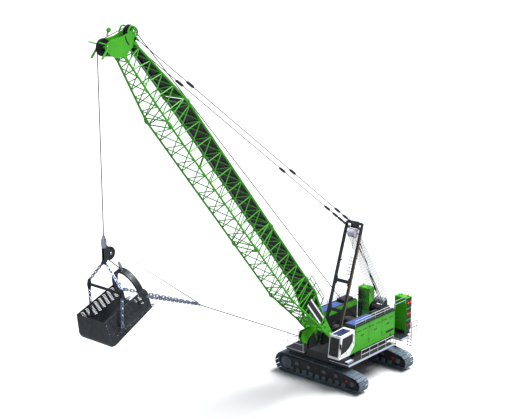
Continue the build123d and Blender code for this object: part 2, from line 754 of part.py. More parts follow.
top_start = foot_section + short_insert + long_insert
top_end = head_axle[0] - head_length
with BuildPart() as insert_short:
    lattice(foot_section, foot_section + short_insert, full_size, full_size, short_bays)
finish(insert_short, "boom_insert_short")
with BuildPart() as insert_long:
    lattice(foot_section + short_insert, top_start, full_size, full_size, 2 * short_bays)
finish(insert_long, "boom_insert_long")
with BuildPart() as top:
    lattice(top_start, top_end, full_size, head_size, short_bays)
finish(top, "boom_top")

with BuildPart() as foot:
    lattice(taper_end, foot_section, taper_size, full_size, short_bays // 4)
    lattice(leg_end, taper_end, leg_size, taper_size, short_bays // 2)
finish(foot, "boom_foot")



def leg_corners(level):
    """Corners of a leg's end against a chord's collar, the outer one first, in boom coordinates."""
    place = 1 if level > 0 else 2
    run = Vector(taper_end - leg_end, level * (taper_size[place] - leg_size[place])).normalized()
    face = Vector(leg_end, level * leg_size[place]) + run * collar_r * abs(run.Y)
    reach = Vector(-run.Y, run.X) * level * (collar_r + 10)
    return [tuple(face + reach)[:2], tuple(face - reach)[:2]]


with BuildPart() as legs:
    for side in (-1, 1):
        with BuildSketch(boom_plane(side * lug_y)) as leg:
            with BuildLine():
                Polyline((0, -170), *leg_corners(-1), *reversed(leg_corners(1)), (0, 170), close=True)
            make_face()
            Circle(170)
            Circle(pin_r + 25 + running_fit, mode=Mode.SUBTRACT)
            with Locations((leg_end - 230, -70)):
                Circle(110, mode=Mode.SUBTRACT)
        extrude(leg.sketch, amount=leg_plate / 2, both=True)
    for along in (650, foot_tube):
        rod(boom_point(along, 0, -lug_y + leg_plate / 2 - 10), boom_point(along, 0, lug_y - leg_plate / 2 + 10),
            foot_tube_r)
finish(legs, "boom_legs")

# ---------------------------------------------------------------- boom head and its sheaves
def sheave(plane, centre, rope_radius, rim_width, bore, grooves=1):
    """A grooved rope sheave: hub, web and rim, turned about its axle."""
    flange = rope_radius + 65
    bottom = rope_radius - rope_r - seat_gap
    pitch = rim_width / grooves
    profile = [(bore, -rim_width / 2 - 10), (flange - 10, -rim_width / 2)]
    for i in range(grooves):
        middle = -rim_width / 2 + pitch * (i + 0.5)
        half_open = pitch / 2 - 7
        profile += [(flange, middle - half_open), (bottom, middle - rope_r - 6),
                    (bottom, middle + rope_r + 6), (flange, middle + half_open)]
    profile += [(flange - 10, rim_width / 2), (bore, rim_width / 2 + 10)]
    centre_point = plane.from_local_coords(Vector(*centre, 0))
    spin = Plane(origin=centre_point, x_dir=plane.x_dir, z_dir=plane.x_dir.cross(plane.z_dir))
    with BuildSketch(spin) as half:
        with BuildLine():
            Polyline(*profile, close=True)
        make_face()
    revolve(half.sketch, axis=Axis(centre_point, plane.z_dir))


head_outline = [(28980, -490), (29010, 570), (29300, 900), (29520, 1060), (29700, 1010), (29970, 200),
                (30450, -650), (30500, -900), (30440, -1180), (30150, -1220), (29560, -1070)]
with BuildPart() as head:
    for side in (-1, 1):
        with BuildSketch(boom_plane(side * (head_half - head_plate / 2))) as plate:
            with BuildLine():
                Polyline(*head_outline, close=True)
            make_face()
            for centre, r in ((head_axle, 190), (rear_axle, 150), (pendant_pin, 130)):
                with Locations(centre):
                    Circle(r)
        extrude(plate.sketch, amount=head_plate / 2, both=True)
    # cross tubes and the two axles, which stand out as pin ends
    inner = head_half - head_plate + 5
    for along, up, r in ((29120, -380, 75), (29120, 430, 75), (29700, -900, 70), (29900, -150, 70)):
        rod(boom_point(along, up, -inner), boom_point(along, up, inner), r, 10)
    # end fittings against the chords of the top section
    for side in (-1, 1):
        for up in (head_size[1], -head_size[2]):
            with BuildSketch(boom_plane(side * head_size[0])) as fitting:
                with Locations((top_end + seat_gap + 75, up)):
                    Rectangle(150, 170)
            extrude(fitting.sketch, amount=85, both=True)
    for (along, up), r in ((head_axle, pin_r + 15), (rear_axle, pin_r)):
        rod(boom_point(along, up, -head_half - 45), boom_point(along, up, head_half + 45), r)
    for side in (-1, 1):
        rod(boom_point(*pendant_pin, side * (head_half - 10)), boom_point(*pendant_pin, side * (pendant_y + 75)), pin_r)
        # rope guard rods in front of the head sheave
        rod(boom_point(30430, -960, side * (head_half - 20)), boom_point(30980, -1330, side * (head_half + 30)), 40, 8)
finish(head, "boom_head")

for node, centre, rope_radius, bore in (("head_sheave", head_axle, head_sheave_r, pin_r + 15),
                                        ("rear_sheave", rear_axle, rear_sheave_r, pin_r)):
    with BuildPart() as wheel:
        sheave(boom_plane(), centre, rope_radius, 120, bore + running_fit)
    finish(wheel, node)

# ---------------------------------------------------------------- fairlead under the boom foot
fairlead_at = (1680, -1335)          # where the drag rope passes, in boom coordinates
fairlead_sheave_r = 190
fairlead_stagger = 190               # each sheave's place along the rope, either way
fairlead_half = 110
rope_slope = radians(26.4)           # of the drag rope, from level
rope_lean = rope_slope - boom_a      # of the drag rope, from the boom


def beside_rope(along, up):
    """Boom coordinates of a point given along and above the drag rope at the fairlead."""
    return (fairlead_at[0] + along * cos(rope_lean) - up * sin(rope_lean),
            fairlead_at[1] + along * sin(rope_lean) + up * cos(rope_lean))


sheave_high = beside_rope(fairlead_stagger, fairlead_sheave_r)
sheave_low = beside_rope(-fairlead_stagger, -fairlead_sheave_r)
with BuildPart() as fairlead:
    for side in (-1, 1):
        with BuildSketch(boom_plane(side * fairlead_half)) as cheek:
            with BuildLine():
                Polyline((foot_tube - 150, -20), (foot_tube + 150, -20), beside_rope(520, 330),
                         beside_rope(420, -120), beside_rope(60, -420), beside_rope(-420, -400),
                         beside_rope(-480, 60), close=True)
            make_face()
            with Locations((foot_tube, 0)):
                Circle(150)
                Circle(foot_tube_r + seat_gap, mode=Mode.SUBTRACT)
        extrude(cheek.sketch, amount=15, both=True)
    for along, up in (sheave_high, sheave_low):
        rod(boom_point(along, up, -fairlead_half - 40), boom_point(along, up, fairlead_half + 40), pin_r - 10)
    rod(boom_point(foot_tube + 120, -420, -fairlead_half), boom_point(foot_tube + 120, -420, fairlead_half), 50, 8)
    with BuildSketch(boom_plane()) as clamp:
        with Locations((foot_tube, 0)):
            Circle(125)
            Circle(foot_tube_r + seat_gap, mode=Mode.SUBTRACT)
    extrude(clamp.sketch, amount=fairlead_half, both=True)
finish(fairlead, "fairlead")
for node, centre in (("fairlead_sheave_upper", sheave_high), ("fairlead_sheave_lower", sheave_low)):
    with BuildPart() as wheel:
        sheave(boom_plane(), centre, fairlead_sheave_r, 90, pin_r - 10 + running_fit)
    finish(wheel, node)

# ---------------------------------------------------------------- boom walkway
walkway_end = 260                    # left free at each end of a section, for its collars
with BuildPart() as boom_walkway:
    with BuildSketch(boom_plane()) as board:
        for start, end in ((taper_end, foot_section), (foot_section, foot_section + short_insert),
                           (foot_section + short_insert, top_start)):
            with Locations(((start + end) / 2, half_d + chord_r + seat_gap + walkway_thickness / 2)):
                Rectangle(end - start - 2 * walkway_end, walkway_thickness)
    extrude(board.sketch, amount=half_w, both=True)
finish(boom_walkway, "boom_walkway")

# ---------------------------------------------------------------- mast
mast_run = Vector(mast_top_x - mast_foot_x, 0, mast_top_z - mast_foot_z)
mast_len = mast_run.length


def mast_plane(y=0.0):
    """Plane along the mast; sketch x runs from its foot pin to its top."""
    return Plane(origin=(slew_x + mast_foot_x, y, mast_foot_z), x_dir=mast_run.normalized(), z_dir=(0, -1, 0))


def on_mast(along, up, y):
    """A point given along the mast and up from its middle, as a point of the machine."""
    p = mast_plane().from_local_coords(Vector(along, up, 0))
    return (p.X - slew_x, y, p.Z)


mast_sheave_at = (mast_len - 400, 60)
with BuildPart() as mast:
    for side in (-1, 1):
        with BuildSketch(mast_plane(side * mast_leg_y)) as leg:
            with BuildLine():
                Polyline((0, -70), (500, -mast_leg[1] / 2), (mast_len, -mast_leg[1] / 2),
                         (mast_len + mast_beam + 60, -60), (mast_len + mast_beam + 60, 60),
                         (mast_len, mast_leg[1] / 2), (500, mast_leg[1] / 2), (0, 70), close=True)
            make_face()
            Circle(120)
            Circle(pin_r + 10 + running_fit, mode=Mode.SUBTRACT)
        extrude(leg.sketch, amount=mast_leg[0] / 2, both=True)
        # pin of the pendant
        rod(on_mast(mast_len, 0, side * (mast_leg_y - 60)), on_mast(mast_len, 0, side * (pendant_y - 75)),
            pin_r - 10)
    inner = mast_leg_y - 60
    for along, r in ((mast_len + mast_beam, 110), (mast_cross, 70), (1500, 70)):
        rod(on_mast(along, 0, -inner), on_mast(along, 0, inner), r, 8)
    rod(on_mast(*mast_sheave_at, -inner), on_mast(*mast_sheave_at, inner), pin_r)
finish(mast, "mast")

with BuildPart() as mast_sheaves:
    sheave(mast_plane(), mast_sheave_at, 260, 660, pin_r + running_fit, grooves=6)
finish(mast_sheaves, "mast_sheaves")

# ---------------------------------------------------------------- pendants
pin_x, pin_z = on_boom(*pendant_pin)
pendant_vec = Vector(mast_top_x - pin_x, 0, mast_top_z - pin_z)
pendant_len = pendant_vec.length
for side, name in ((1, "left"), (-1, "right")):
    y = side * pendant_y
    plane = Plane(origin=(slew_x + pin_x, y, pin_z), x_dir=pendant_vec.normalized(), z_dir=(0, -1, 0))
    with BuildPart() as pendant:
        run = pendant_vec.normalized()
        start = Vector(pin_x, y, pin_z) + run * 150
        end = Vector(pin_x, y, pin_z) + run * (pendant_len - 150)
        rod(tuple(start), tuple(end), pendant_r)
        with BuildSketch(plane) as plates:
            for along in (5300, 17300, pendant_len - 700):
                with Locations((along, 0)):
                    Rectangle(620, 130)
            for along in (150, pendant_len - 150):
                with Locations((along, 0)):
                    Rectangle(200, 90)
            # eyes: close on the head's pin, open on the mast's pin where the linkage is open
            for along, eye_r, bore in ((0, 95, pin_r + running_fit), (pendant_len, 120, pin_r - 10 + pendant_drift)):
                with Locations((along, 0)):
                    Circle(eye_r)
                    Circle(bore, mode=Mode.SUBTRACT)
        extrude(plates.sketch, amount=pendant_plate / 2, both=True)
    finish(pendant, f"pendant_{name}")

# ---------------------------------------------------------------- hoist line
socket_top = dump_z + 950
shackle_y, shackle_z = 130, dump_z - 500
with BuildPart() as hoist_rope:
    rod((line_x, 0, socket_top + seat_gap), (line_x, 0, head_z), rope_r)
finish(hoist_rope, "hoist_rope")

with BuildPart() as hoist_block:
    rod((line_x, 0, socket_top), (line_x, 0, dump_z + 560), 75)
    for side in (-1, 1):
        with BuildSketch(side_plane(side * 90)) as cheek:
            with BuildLine():
                Polyline((line_x - 90, dump_z + 640), (line_x + 90, dump_z + 640), (line_x + 90, dump_z - 400),
                         (line_x - 90, dump_z - 400), (dump_x - 130, dump_z - 90), (dump_x - 130, dump_z + 90),
                         close=True)
            make_face()
        extrude(cheek.sketch, amount=18, both=True)
        # yoke plates, across the machine, with the pins of both chains
        with BuildSketch(front_plane(line_x + side * (hang_wire / 2 + chain_play + 12))) as yoke:
            with BuildLine():
                Polyline((-110, dump_z - 300), (110, dump_z - 300), (shackle_y + 90, shackle_z),
                         (shackle_y + 20, shackle_z - 70), (-shackle_y - 20, shackle_z - 70),
                         (-shackle_y - 90, shackle_z), close=True)
            make_face()
        extrude(yoke.sketch, amount=12, both=True)
        rod((line_x - hang_wire / 2 - 40, side * shackle_y, shackle_z),
            (line_x + hang_wire / 2 + 40, side * shackle_y, shackle_z), link_pin_r)
    rod((line_x, -110, dump_z + 580), (line_x, 110, dump_z + 580), 60)
    rod((dump_x, -110, dump_z), (dump_x, 110, dump_z), pin_r)
finish(hoist_block, "hoist_block")

with BuildPart() as dump_sheave:
    sheave(side_plane(), (dump_x, dump_z), dump_sheave_r - 65, 110, pin_r + running_fit)
finish(dump_sheave, "dump_sheave")


def chain(start, end, nominal, pin, across):
    """Links between two pins of radius pin, lying along across; the end links hang on the pins.

    The number of links is odd, so that both end links stand across their pins, and the bar they are
    made of is fitted to the distance.  Where the chain leans along its pins, the links stay that
    much clear of them.
    """
    a, b = Vector(*start), Vector(*end)
    span = (b - a).length
    run = (b - a).normalized()
    lean = abs(run.dot(Vector(*across)))
    slack = lean / sqrt(1 - lean * lean) / 2
    count = 2 * round((span / (4.3 * nominal) - 1) / 2) + 1
    wire = (span + 2 * pin + (count + 1) * seat_gap) / (4.3 * count - 2 * slack)
    turned = run.cross(Vector(*across)).normalized()
    upright = turned.cross(run)
    length, width, cut = 6.3 * wire, 3.6 * wire, 1.1 * wire
    corners = [(length / 2, width / 2 - cut), (length / 2 - cut, width / 2), (cut - length / 2, width / 2),
               (-length / 2, width / 2 - cut)]
    outline = corners + [(-x, -y) for x, y in corners]
    first = (2.15 - slack) * wire - pin - seat_gap
    for i in range(count):
        middle = a + run * (first + i * (4.3 * wire - seat_gap)) + Vector(slew_x, 0, 0)
        face = upright if i % 2 == 0 else turned
        with BuildSketch(Plane(origin=middle, x_dir=run, z_dir=face)) as ring:
            with BuildLine():
                Polyline(*outline, close=True)
            make_face()
            Rectangle(length - 2 * wire, width - 2 * wire, mode=Mode.SUBTRACT)
        extrude(ring.sketch, amount=wire / 2, both=True)


top_eye_z = spreader_z + 230
low_eye_z = spreader_z - 280
chain_y = spreader_half - 60
for side, name in ((1, "left"), (-1, "right")):
    with BuildPart() as upper_chain:
        chain((line_x, side * shackle_y, shackle_z), (line_x, side * chain_y, top_eye_z), hang_wire,
              link_pin_r, (1, 0, 0))
    finish(upper_chain, f"upper_chain_{name}")

with BuildPart() as spreader:
    rod((line_x, -chain_y, spreader_z), (line_x, chain_y, spreader_z), 85)
    for side in (-1, 1):
        # upper ears across the machine, lower ears along it
        for way in (-1, 1):
            with BuildSketch(front_plane(line_x + way * (hang_wire / 2 + chain_play + 12))) as ear:
                with BuildLine():
                    Polyline((side * (chain_y - 150), spreader_z), (side * (chain_y + 120), spreader_z),
                             (side * (chain_y + 60), top_eye_z + 55), (side * (chain_y - 70), top_eye_z + 55),
                             close=True)
                make_face()
            extrude(ear.sketch, amount=12, both=True)
            with BuildSketch(side_plane(side * chain_y + way * (hang_wire / 2 + chain_play + 12))) as ear:
                with BuildLine():
                    Polyline((line_x - 130, spreader_z + 40), (line_x + 130, spreader_z + 40),
                             (line_x + 60, low_eye_z - 55), (line_x - 60, low_eye_z - 55), close=True)
                make_face()
            extrude(ear.sketch, amount=12, both=True)
        rod((line_x - 65, side * chain_y, top_eye_z), (line_x + 65, side * chain_y, top_eye_z), link_pin_r)
        rod((line_x, side * chain_y - 60, low_eye_z), (line_x, side * chain_y + 60, low_eye_z), link_pin_r)
finish(spreader, "spreader_bar")

eye_y = bucket_half + eye_stand
for side, name in ((1, "left"), (-1, "right")):
    with BuildPart() as lower_chain:
        chain((line_x, side * chain_y, low_eye_z), (line_x, side * eye_y, trunnion_z + eye_rise), hang_wire,
              link_pin_r, (0, 1, 0))
        for way in (-1, 1):
            with BuildSketch(side_plane(side * eye_y + way * (hang_wire / 2 + chain_play + 12))) as eye:
                with Locations((line_x, trunnion_z)):
                    Circle(trunnion_r + 60)
                with BuildLine():
                    Polyline((line_x - 110, trunnion_z), (line_x + 110, trunnion_z),
                             (line_x + 50, trunnion_z + eye_rise + 50),
                             (line_x - 50, trunnion_z + eye_rise + 50), close=True)
                make_face()
                with Locations((line_x, trunnion_z)):
                    Circle(trunnion_r + running_fit, mode=Mode.SUBTRACT)
            extrude(eye.sketch, amount=12, both=True)
        rod((line_x, side * eye_y - 60, trunnion_z + eye_rise), (line_x, side * eye_y + 60, trunnion_z + eye_rise),
            link_pin_r)
    finish(lower_chain, f"lower_chain_{name}")

# ---------------------------------------------------------------- dragline bucket
def bucket_profile(inset=0.0, over=0.0):
    """Side outline of the shell: rounded heel, floor, lip and the top edge."""
    r = 420 - inset
    with BuildLine() as line:
        Line((inset, bucket_depth + over), (inset, 420))
        JernArc((inset, 420), (0, -1), r, 90)
        Line((420, inset), (bucket_floor + over, inset))
        if over:
            Polyline((bucket_floor + over, inset), (bucket_floor + over, bucket_depth + over),
                     (inset, bucket_depth + over))
        else:
            Polyline((bucket_floor, inset), (bucket_floor + 60, 1150), (bucket_floor - 90, bucket_depth),
                     (inset, bucket_depth))
    return line


with BuildPart() as bucket:
    with BuildSketch(bucket_plane()) as shell:
        add(bucket_profile())
        make_face()
    extrude(shell.sketch, amount=bucket_half, both=True)
    with BuildSketch(bucket_plane()) as inside:
        add(bucket_profile(bucket_plate, 400))
        make_face()
    extrude(inside.sketch, amount=bucket_half - bucket_plate, both=True, mode=Mode.SUBTRACT)
    # arch over the mouth
    arch_plane = Plane(origin=bucket_plane().from_local_coords(Vector(bucket_floor - 330, bucket_depth - 350, 0)),
                       x_dir=(0, 1, 0), z_dir=-bucket_plane().x_dir)
    with BuildSketch(arch_plane) as arch:
        for a, b, mode in ((bucket_half - 2, 1620, Mode.ADD), (bucket_half - 130, 1450, Mode.SUBTRACT)):
            with BuildSketch(arch_plane, mode=mode):
                Ellipse(a, b)
                with Locations((0, -b / 2)):
                    Rectangle(2 * a + 10, b, mode=Mode.SUBTRACT)
    extrude(arch.sketch, amount=190, both=True)
    # teeth
    for i in range(5):
        y = (i - 2) * (2 * bucket_half - 260) / 4
        with BuildSketch(bucket_plane(y)) as tooth:
            with BuildLine():
                Polyline((bucket_floor - 260, -35), (bucket_floor - 260, 95), (bucket_floor + 60, 85),
                         (bucket_floor + tooth_length, 20), (bucket_floor + tooth_length, -5), close=True)
            make_face()
        extrude(tooth.sketch, amount=75, both=True)
    # trunnions and drag eyes
    for side in (-1, 1):
        with BuildSketch(bucket_plane(side * (bucket_half - 10))) as pin:
            with Locations(trunnion):
                Circle(trunnion_r)
        extrude(pin.sketch, amount=side * (eye_y - bucket_half + hang_wire / 2 + chain_play + 40))
        with BuildSketch(bucket_plane(side * bucket_half)) as ear:
            with Locations(drag_eye):
                Circle(130)
            with BuildLine():
                Polyline((drag_eye[0], drag_eye[1] + 130), (drag_eye[0] - 700, drag_eye[1] + 60),
                         (drag_eye[0] - 700, drag_eye[1] - 60), (drag_eye[0], drag_eye[1] - 130), close=True)
            make_face()
        extrude(ear.sketch, amount=ear_half, both=True)
        with BuildSketch(bucket_plane(side * bucket_half)) as bore:
            with Locations(drag_eye):
                Circle(drag_pin_r + running_fit)
        extrude(bore.sketch, amount=ear_half + 1, both=True, mode=Mode.SUBTRACT)
finish(bucket, "bucket")

# ---------------------------------------------------------------- drag chains
eye_x, eye_z = on_bucket(*drag_eye)
rope_run = Vector(-cos(rope_slope), 0, -sin(rope_slope))
meet = Vector(drag_end[0], 0, drag_end[1]) - rope_run * drag_socket_length
meet_y = 92                   # of each chain where they meet
flat_run = (meet - Vector(eye_x, 0, eye_z)).normalized()
for side, name in ((1, "left"), (-1, "right")):
    eye = Vector(eye_x, side * bucket_half, eye_z)
    clevis_pin = eye + flat_run * clevis_length
    with BuildPart() as drag_chain:
        # clevis on the bucket's ear, then the chain
        for way in (-1, 1):
            cheek_y = way * (ear_half + side_play + 12)
            with BuildSketch(Plane(origin=eye + Vector(slew_x, cheek_y, 0), x_dir=flat_run, z_dir=(0, 1, 0))) as cheek:
                Circle(90)
                with Locations((clevis_length / 2, 0)):
                    Rectangle(clevis_length, 120)
                with Locations((clevis_length, 0)):
                    Circle(60)
            extrude(cheek.sketch, amount=12, both=True)
            rod(tuple(eye), tuple(eye + Vector(0, way * (ear_half + side_play + 40), 0)), drag_pin_r)
            rod(tuple(clevis_pin), tuple(clevis_pin + Vector(0, way * (ear_half + side_play + 24), 0)), link_pin_r)
        chain(tuple(clevis_pin), (meet.X, side * meet_y, meet.Z), drag_wire, link_pin_r, (0, 1, 0))
    finish(drag_chain, f"drag_chain_{name}")

with BuildPart() as drag_socket:
    with BuildSketch(Plane(origin=meet + Vector(slew_x, 0, 0), x_dir=rope_run, z_dir=(0, 1, 0))) as middle_plate:
        Rectangle(140, 140)
        with Locations((90, 0)):
            Rectangle(180, 130)
    extrude(middle_plate.sketch, amount=meet_y - drag_wire / 2 - chain_play - 10, both=True)
    for side in (-1, 1):
        y = side * (meet_y + drag_wire / 2 + chain_play + 12)
        with BuildSketch(Plane(origin=meet + Vector(slew_x, y, 0), x_dir=rope_run, z_dir=(0, 1, 0))) as cheek:
            with Locations((50, 0)):
                Rectangle(220, 120)
        extrude(cheek.sketch, amount=12, both=True)
    with BuildSketch(Plane(origin=meet + Vector(slew_x, 0, 0), x_dir=rope_run, z_dir=(0, 1, 0))) as bridge:
        with Locations((140, 0)):
            Rectangle(60, 120)
    extrude(bridge.sketch, amount=meet_y + drag_wire / 2 + chain_play + 24, both=True)
    rod((meet.X, -meet_y - 70, meet.Z), (meet.X, meet_y + 70, meet.Z), link_pin_r)
    rod(tuple(meet + rope_run * 160), tuple(meet + rope_run * drag_socket_length), 70)
finish(drag_socket, "drag_socket")
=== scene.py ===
"""Looks of a duty-cycle crawler crane: finishes, glass, ropes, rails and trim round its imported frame.

Lengths are metres.  machine() gives a place measured from the slewing axis, +X along the boom,
+Y to the cab side, +Z up; boom, mast and bucket pieces are drawn in their own axes and then laid
into place.
"""
import json
from math import atan2, cos, pi, radians, sin

import bpy
from mathutils import Matrix, Vector


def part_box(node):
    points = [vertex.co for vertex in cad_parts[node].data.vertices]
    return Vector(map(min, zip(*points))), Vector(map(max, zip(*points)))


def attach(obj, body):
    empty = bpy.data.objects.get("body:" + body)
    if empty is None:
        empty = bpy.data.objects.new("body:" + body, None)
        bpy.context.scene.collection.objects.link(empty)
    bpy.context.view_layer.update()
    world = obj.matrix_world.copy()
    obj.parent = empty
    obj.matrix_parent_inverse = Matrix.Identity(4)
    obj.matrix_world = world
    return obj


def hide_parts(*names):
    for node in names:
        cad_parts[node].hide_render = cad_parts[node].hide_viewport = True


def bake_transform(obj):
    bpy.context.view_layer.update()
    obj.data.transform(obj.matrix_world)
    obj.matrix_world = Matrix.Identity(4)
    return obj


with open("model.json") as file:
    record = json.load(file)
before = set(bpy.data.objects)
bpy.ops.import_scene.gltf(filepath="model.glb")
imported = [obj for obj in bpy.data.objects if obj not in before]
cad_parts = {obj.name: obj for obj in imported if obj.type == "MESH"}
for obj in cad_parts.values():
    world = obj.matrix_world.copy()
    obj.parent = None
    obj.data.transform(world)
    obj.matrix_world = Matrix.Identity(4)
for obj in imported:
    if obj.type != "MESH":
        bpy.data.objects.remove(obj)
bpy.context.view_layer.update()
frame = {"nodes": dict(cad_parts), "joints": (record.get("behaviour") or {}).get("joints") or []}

bl_info = {
    "name": "Crawler crane looks",
    "version": (1, 0, 0),
    "blender": (4, 5, 0),
    "location": "View3D > Sidebar > Crane",
    "description": "Finishes, glass, ropes, rails and trim of a duty-cycle crawler crane",
    "category": "Object",
}

# ---------------------------------------------------------------- places taken from the frame
PIN = {joint["name"]: Vector(joint["pos_m"]) for joint in frame["joints"]}
BOOM_ANGLE = radians(50.1)
BUCKET_PITCH = radians(21)
ROPE_SLOPE = radians(26.4)
MAST_TOP = (-0.83, 10.87)
TRUNNION = (1.01, 0.56)


def machine(x, y, z):
    """A place measured from the slewing axis."""
    return Vector((x + PIN["slew"].x, y, z))


def axes(origin, along, up):
    """Matrix that lays a piece drawn with X along, Y across and Z up into place."""
    along, up = Vector(along).normalized(), Vector(up).normalized()
    sideways = up.cross(along)
    turn = Matrix((along, sideways, up)).transposed().to_4x4()
    return Matrix.Translation(origin) @ turn


BOOM = axes(PIN["luff"], (cos(BOOM_ANGLE), 0, sin(BOOM_ANGLE)), (-sin(BOOM_ANGLE), 0, cos(BOOM_ANGLE)))
mast_top = machine(MAST_TOP[0], 0, MAST_TOP[1])
mast_line = mast_top - PIN["mast_hinge"]
MAST = axes(PIN["mast_hinge"], mast_line, (-mast_line.z, 0, mast_line.x))
bucket_along = Vector((-cos(BUCKET_PITCH), 0, sin(BUCKET_PITCH)))
bucket_up = Vector((sin(BUCKET_PITCH), 0, cos(BUCKET_PITCH)))
heel = PIN["bucket_tip"] - bucket_along * TRUNNION[0] - bucket_up * TRUNNION[1]
BUCKET = axes(heel, bucket_along, bucket_up)
HERE = Matrix.Identity(4)
MACHINE = Matrix.Translation(machine(0, 0, 0))
LUFFING_BLOCK = machine(-4.61, 0, 4.25)
DRAG_SOCKET = machine(15.7, 0, 9.25)


def facing(side):
    """A turn that lets a round piece point out of the left (1) or right (-1) side."""
    return HERE if side > 0 else Matrix.Rotation(pi, 4, "X")


def across(side, inner, outer):
    """Two distances from the middle plane as low and high Y on one side."""
    return sorted((side * inner, side * outer))


def linear(hex_code):
    """An sRGB hex colour as linear numbers."""
    parts = [int(hex_code[i:i + 2], 16) / 255 for i in (0, 2, 4)]
    return [p / 12.92 if p <= 0.04045 else ((p + 0.055) / 1.055) ** 2.4 for p in parts]


# ---------------------------------------------------------------- sizes and colours
class CraneSizes(bpy.types.PropertyGroup):
    """Sizes that a user may change."""
    hoist_rope: bpy.props.FloatProperty(
        name="Hoist rope", description="Diameter of the hoist and drag ropes",
        default=0.056, min=0.02, max=0.06, unit="LENGTH")
    luffing_rope: bpy.props.FloatProperty(
        name="Luffing rope", description="Diameter of the boom hoist rope",
        default=0.036, min=0.014, max=0.04, unit="LENGTH")
    luffing_falls: bpy.props.IntProperty(
        name="Luffing falls", description="Parallel ropes between mast and rear winch",
        default=14, min=4, max=20)
    glass: bpy.props.FloatProperty(
        name="Glass", description="Thickness of the cab's panes",
        default=0.008, min=0.004, max=0.012, unit="LENGTH")
    chord: bpy.props.FloatProperty(
        name="Chord", description="Diameter of the boom's chord tubes",
        default=0.136, min=0.1, max=0.2, unit="LENGTH")
    lacing: bpy.props.FloatProperty(
        name="Lacing", description="Diameter of the boom's lacing tubes",
        default=0.07, min=0.04, max=0.09, unit="LENGTH")
    grouser: bpy.props.FloatProperty(
        name="Grouser", description="Height of the ribs on the track shoes",
        default=0.03, min=0.01, max=0.04, unit="LENGTH")


def colour(name, description, hex_code):
    """A colour property with its default given in sRGB hex."""
    return bpy.props.FloatVectorProperty(name=name, description=description, subtype="COLOR",
                                         size=3, min=0, max=1, default=linear(hex_code))


class CraneColours(bpy.types.PropertyGroup):
    """Colours that a user may change."""
    body: colour("Body", "Enamel of houses, boom and counterweight", "3FA618")
    cab: colour("Cab", "Enamel of the cab's frame", "E9ECEC")
    chassis: colour("Chassis", "Satin paint of main frame, decks and winch frames", "1C1F23")
    mast: colour("Mast", "Enamel of mast and pendants", "2E363D")
    track: colour("Tracks", "Cast steel of tracks and wheels", "5E6C78")
    bucket: colour("Bucket", "Scuffed plate of the bucket", "2B3034")
    chain: colour("Chains", "Worn links and shackles", "8792AE")
    rope: colour("Ropes", "Greased rope wires", "17181B")
    drum: colour("Sheaves", "Black cast iron of sheaves and drums", "1C2023")
    pin: colour("Pins", "Zinc plated pins", "A6B0BC")
    roof: colour("Roofs", "Anti-slip paint of the house roofs", "3E5492")
    rail: colour("Rails", "Galvanised tube", "B4BAC0")
    deck: colour("Decks", "Galvanised edge plates and steps", "BCC2D4")
    glass: colour("Glass", "Tint of the cab's panes", "1E2429")
    amber: colour("Amber lamp", "Lens of the beacons", "FF9A10")
    red: colour("Red reflector", "Prismatic reflectors", "F01414")
    sleeve: colour("Hose sleeve", "Woven sleeve of the mast's hose", "8A6A2C")
    fabric: colour("Seat", "Cloth of the operator's seat", "2B2E33")


# ---------------------------------------------------------------- finishes
FINISH = {}


def add_node(tree, kind, settings=None, links=None):
    """Add one shader node, set its options and sockets, and link sockets into it."""
    node = tree.nodes.new(kind)
    for key, value in (settings or {}).items():
        if isinstance(key, int) or key in node.inputs:
            node.inputs[key].default_value = value
        else:
            setattr(node, key, value)
    for key, source in (links or {}).items():
        tree.links.new(source, node.inputs[key])
    return node


def finish(name, shade, **sockets):
    """A material with one shader; returns its tree, its shader and its object coordinates."""
    material = bpy.data.materials.new(name)
    material.use_nodes = True
    material.diffuse_color = (*shade, 1)
    FINISH[name] = material
    tree = material.node_tree
    tree.nodes.clear()
    settings = {"Base Color": (*shade, 1)}
    settings.update({key.replace("_", " "): value for key, value in sockets.items()})
    shader = add_node(tree, "ShaderNodeBsdfPrincipled", settings)
    add_node(tree, "ShaderNodeOutputMaterial", links={"Surface": shader.outputs["BSDF"]})
    where = add_node(tree, "ShaderNodeTexCoord").outputs["Object"]
    return tree, shader, where


def mottle(tree, shader, where, shade, scale, darker, lighter, stretch=(1, 1, 1)):
    """Colour that drifts between a darker and a lighter shade, with a pattern of so many per metre."""
    turned_where = add_node(tree, "ShaderNodeMapping", {"Scale": stretch}, {"Vector": where})
    noise = add_node(tree, "ShaderNodeTexNoise", {"Scale": scale, "Detail": 5, "Roughness": 0.6},
                     {"Vector": turned_where.outputs["Vector"]})
    spread = add_node(tree, "ShaderNodeMapRange", {"From Min": 0.35, "From Max": 0.65},
                      {"Value": noise.outputs["Fac"]})
    mix = add_node(tree, "ShaderNodeMix", {"data_type": "RGBA", 6: (*(c * darker for c in shade), 1),
                                           7: (*(min(1, c * lighter) for c in shade), 1)},
                   {0: spread.outputs["Result"]})
    tree.links.new(mix.outputs[2], shader.inputs["Base Color"])
    return noise, mix


def ripple(tree, shader, source, strength, depth):
    """Raise the surface by a pattern, depth metres at most."""
    bump = add_node(tree, "ShaderNodeBump", {"Strength": strength, "Distance": depth}, {"Height": source})
    tree.links.new(bump.outputs["Normal"], shader.inputs["Normal"])


def roughen(tree, shader, source, low, high):
    """Let the roughness follow a pattern between two values."""
    spread = add_node(tree, "ShaderNodeMapRange", {"From Min": 0.3, "From Max": 0.7, "To Min": low,
                                                   "To Max": high}, {"Value": source})
    tree.links.new(spread.outputs["Result"], shader.inputs["Roughness"])


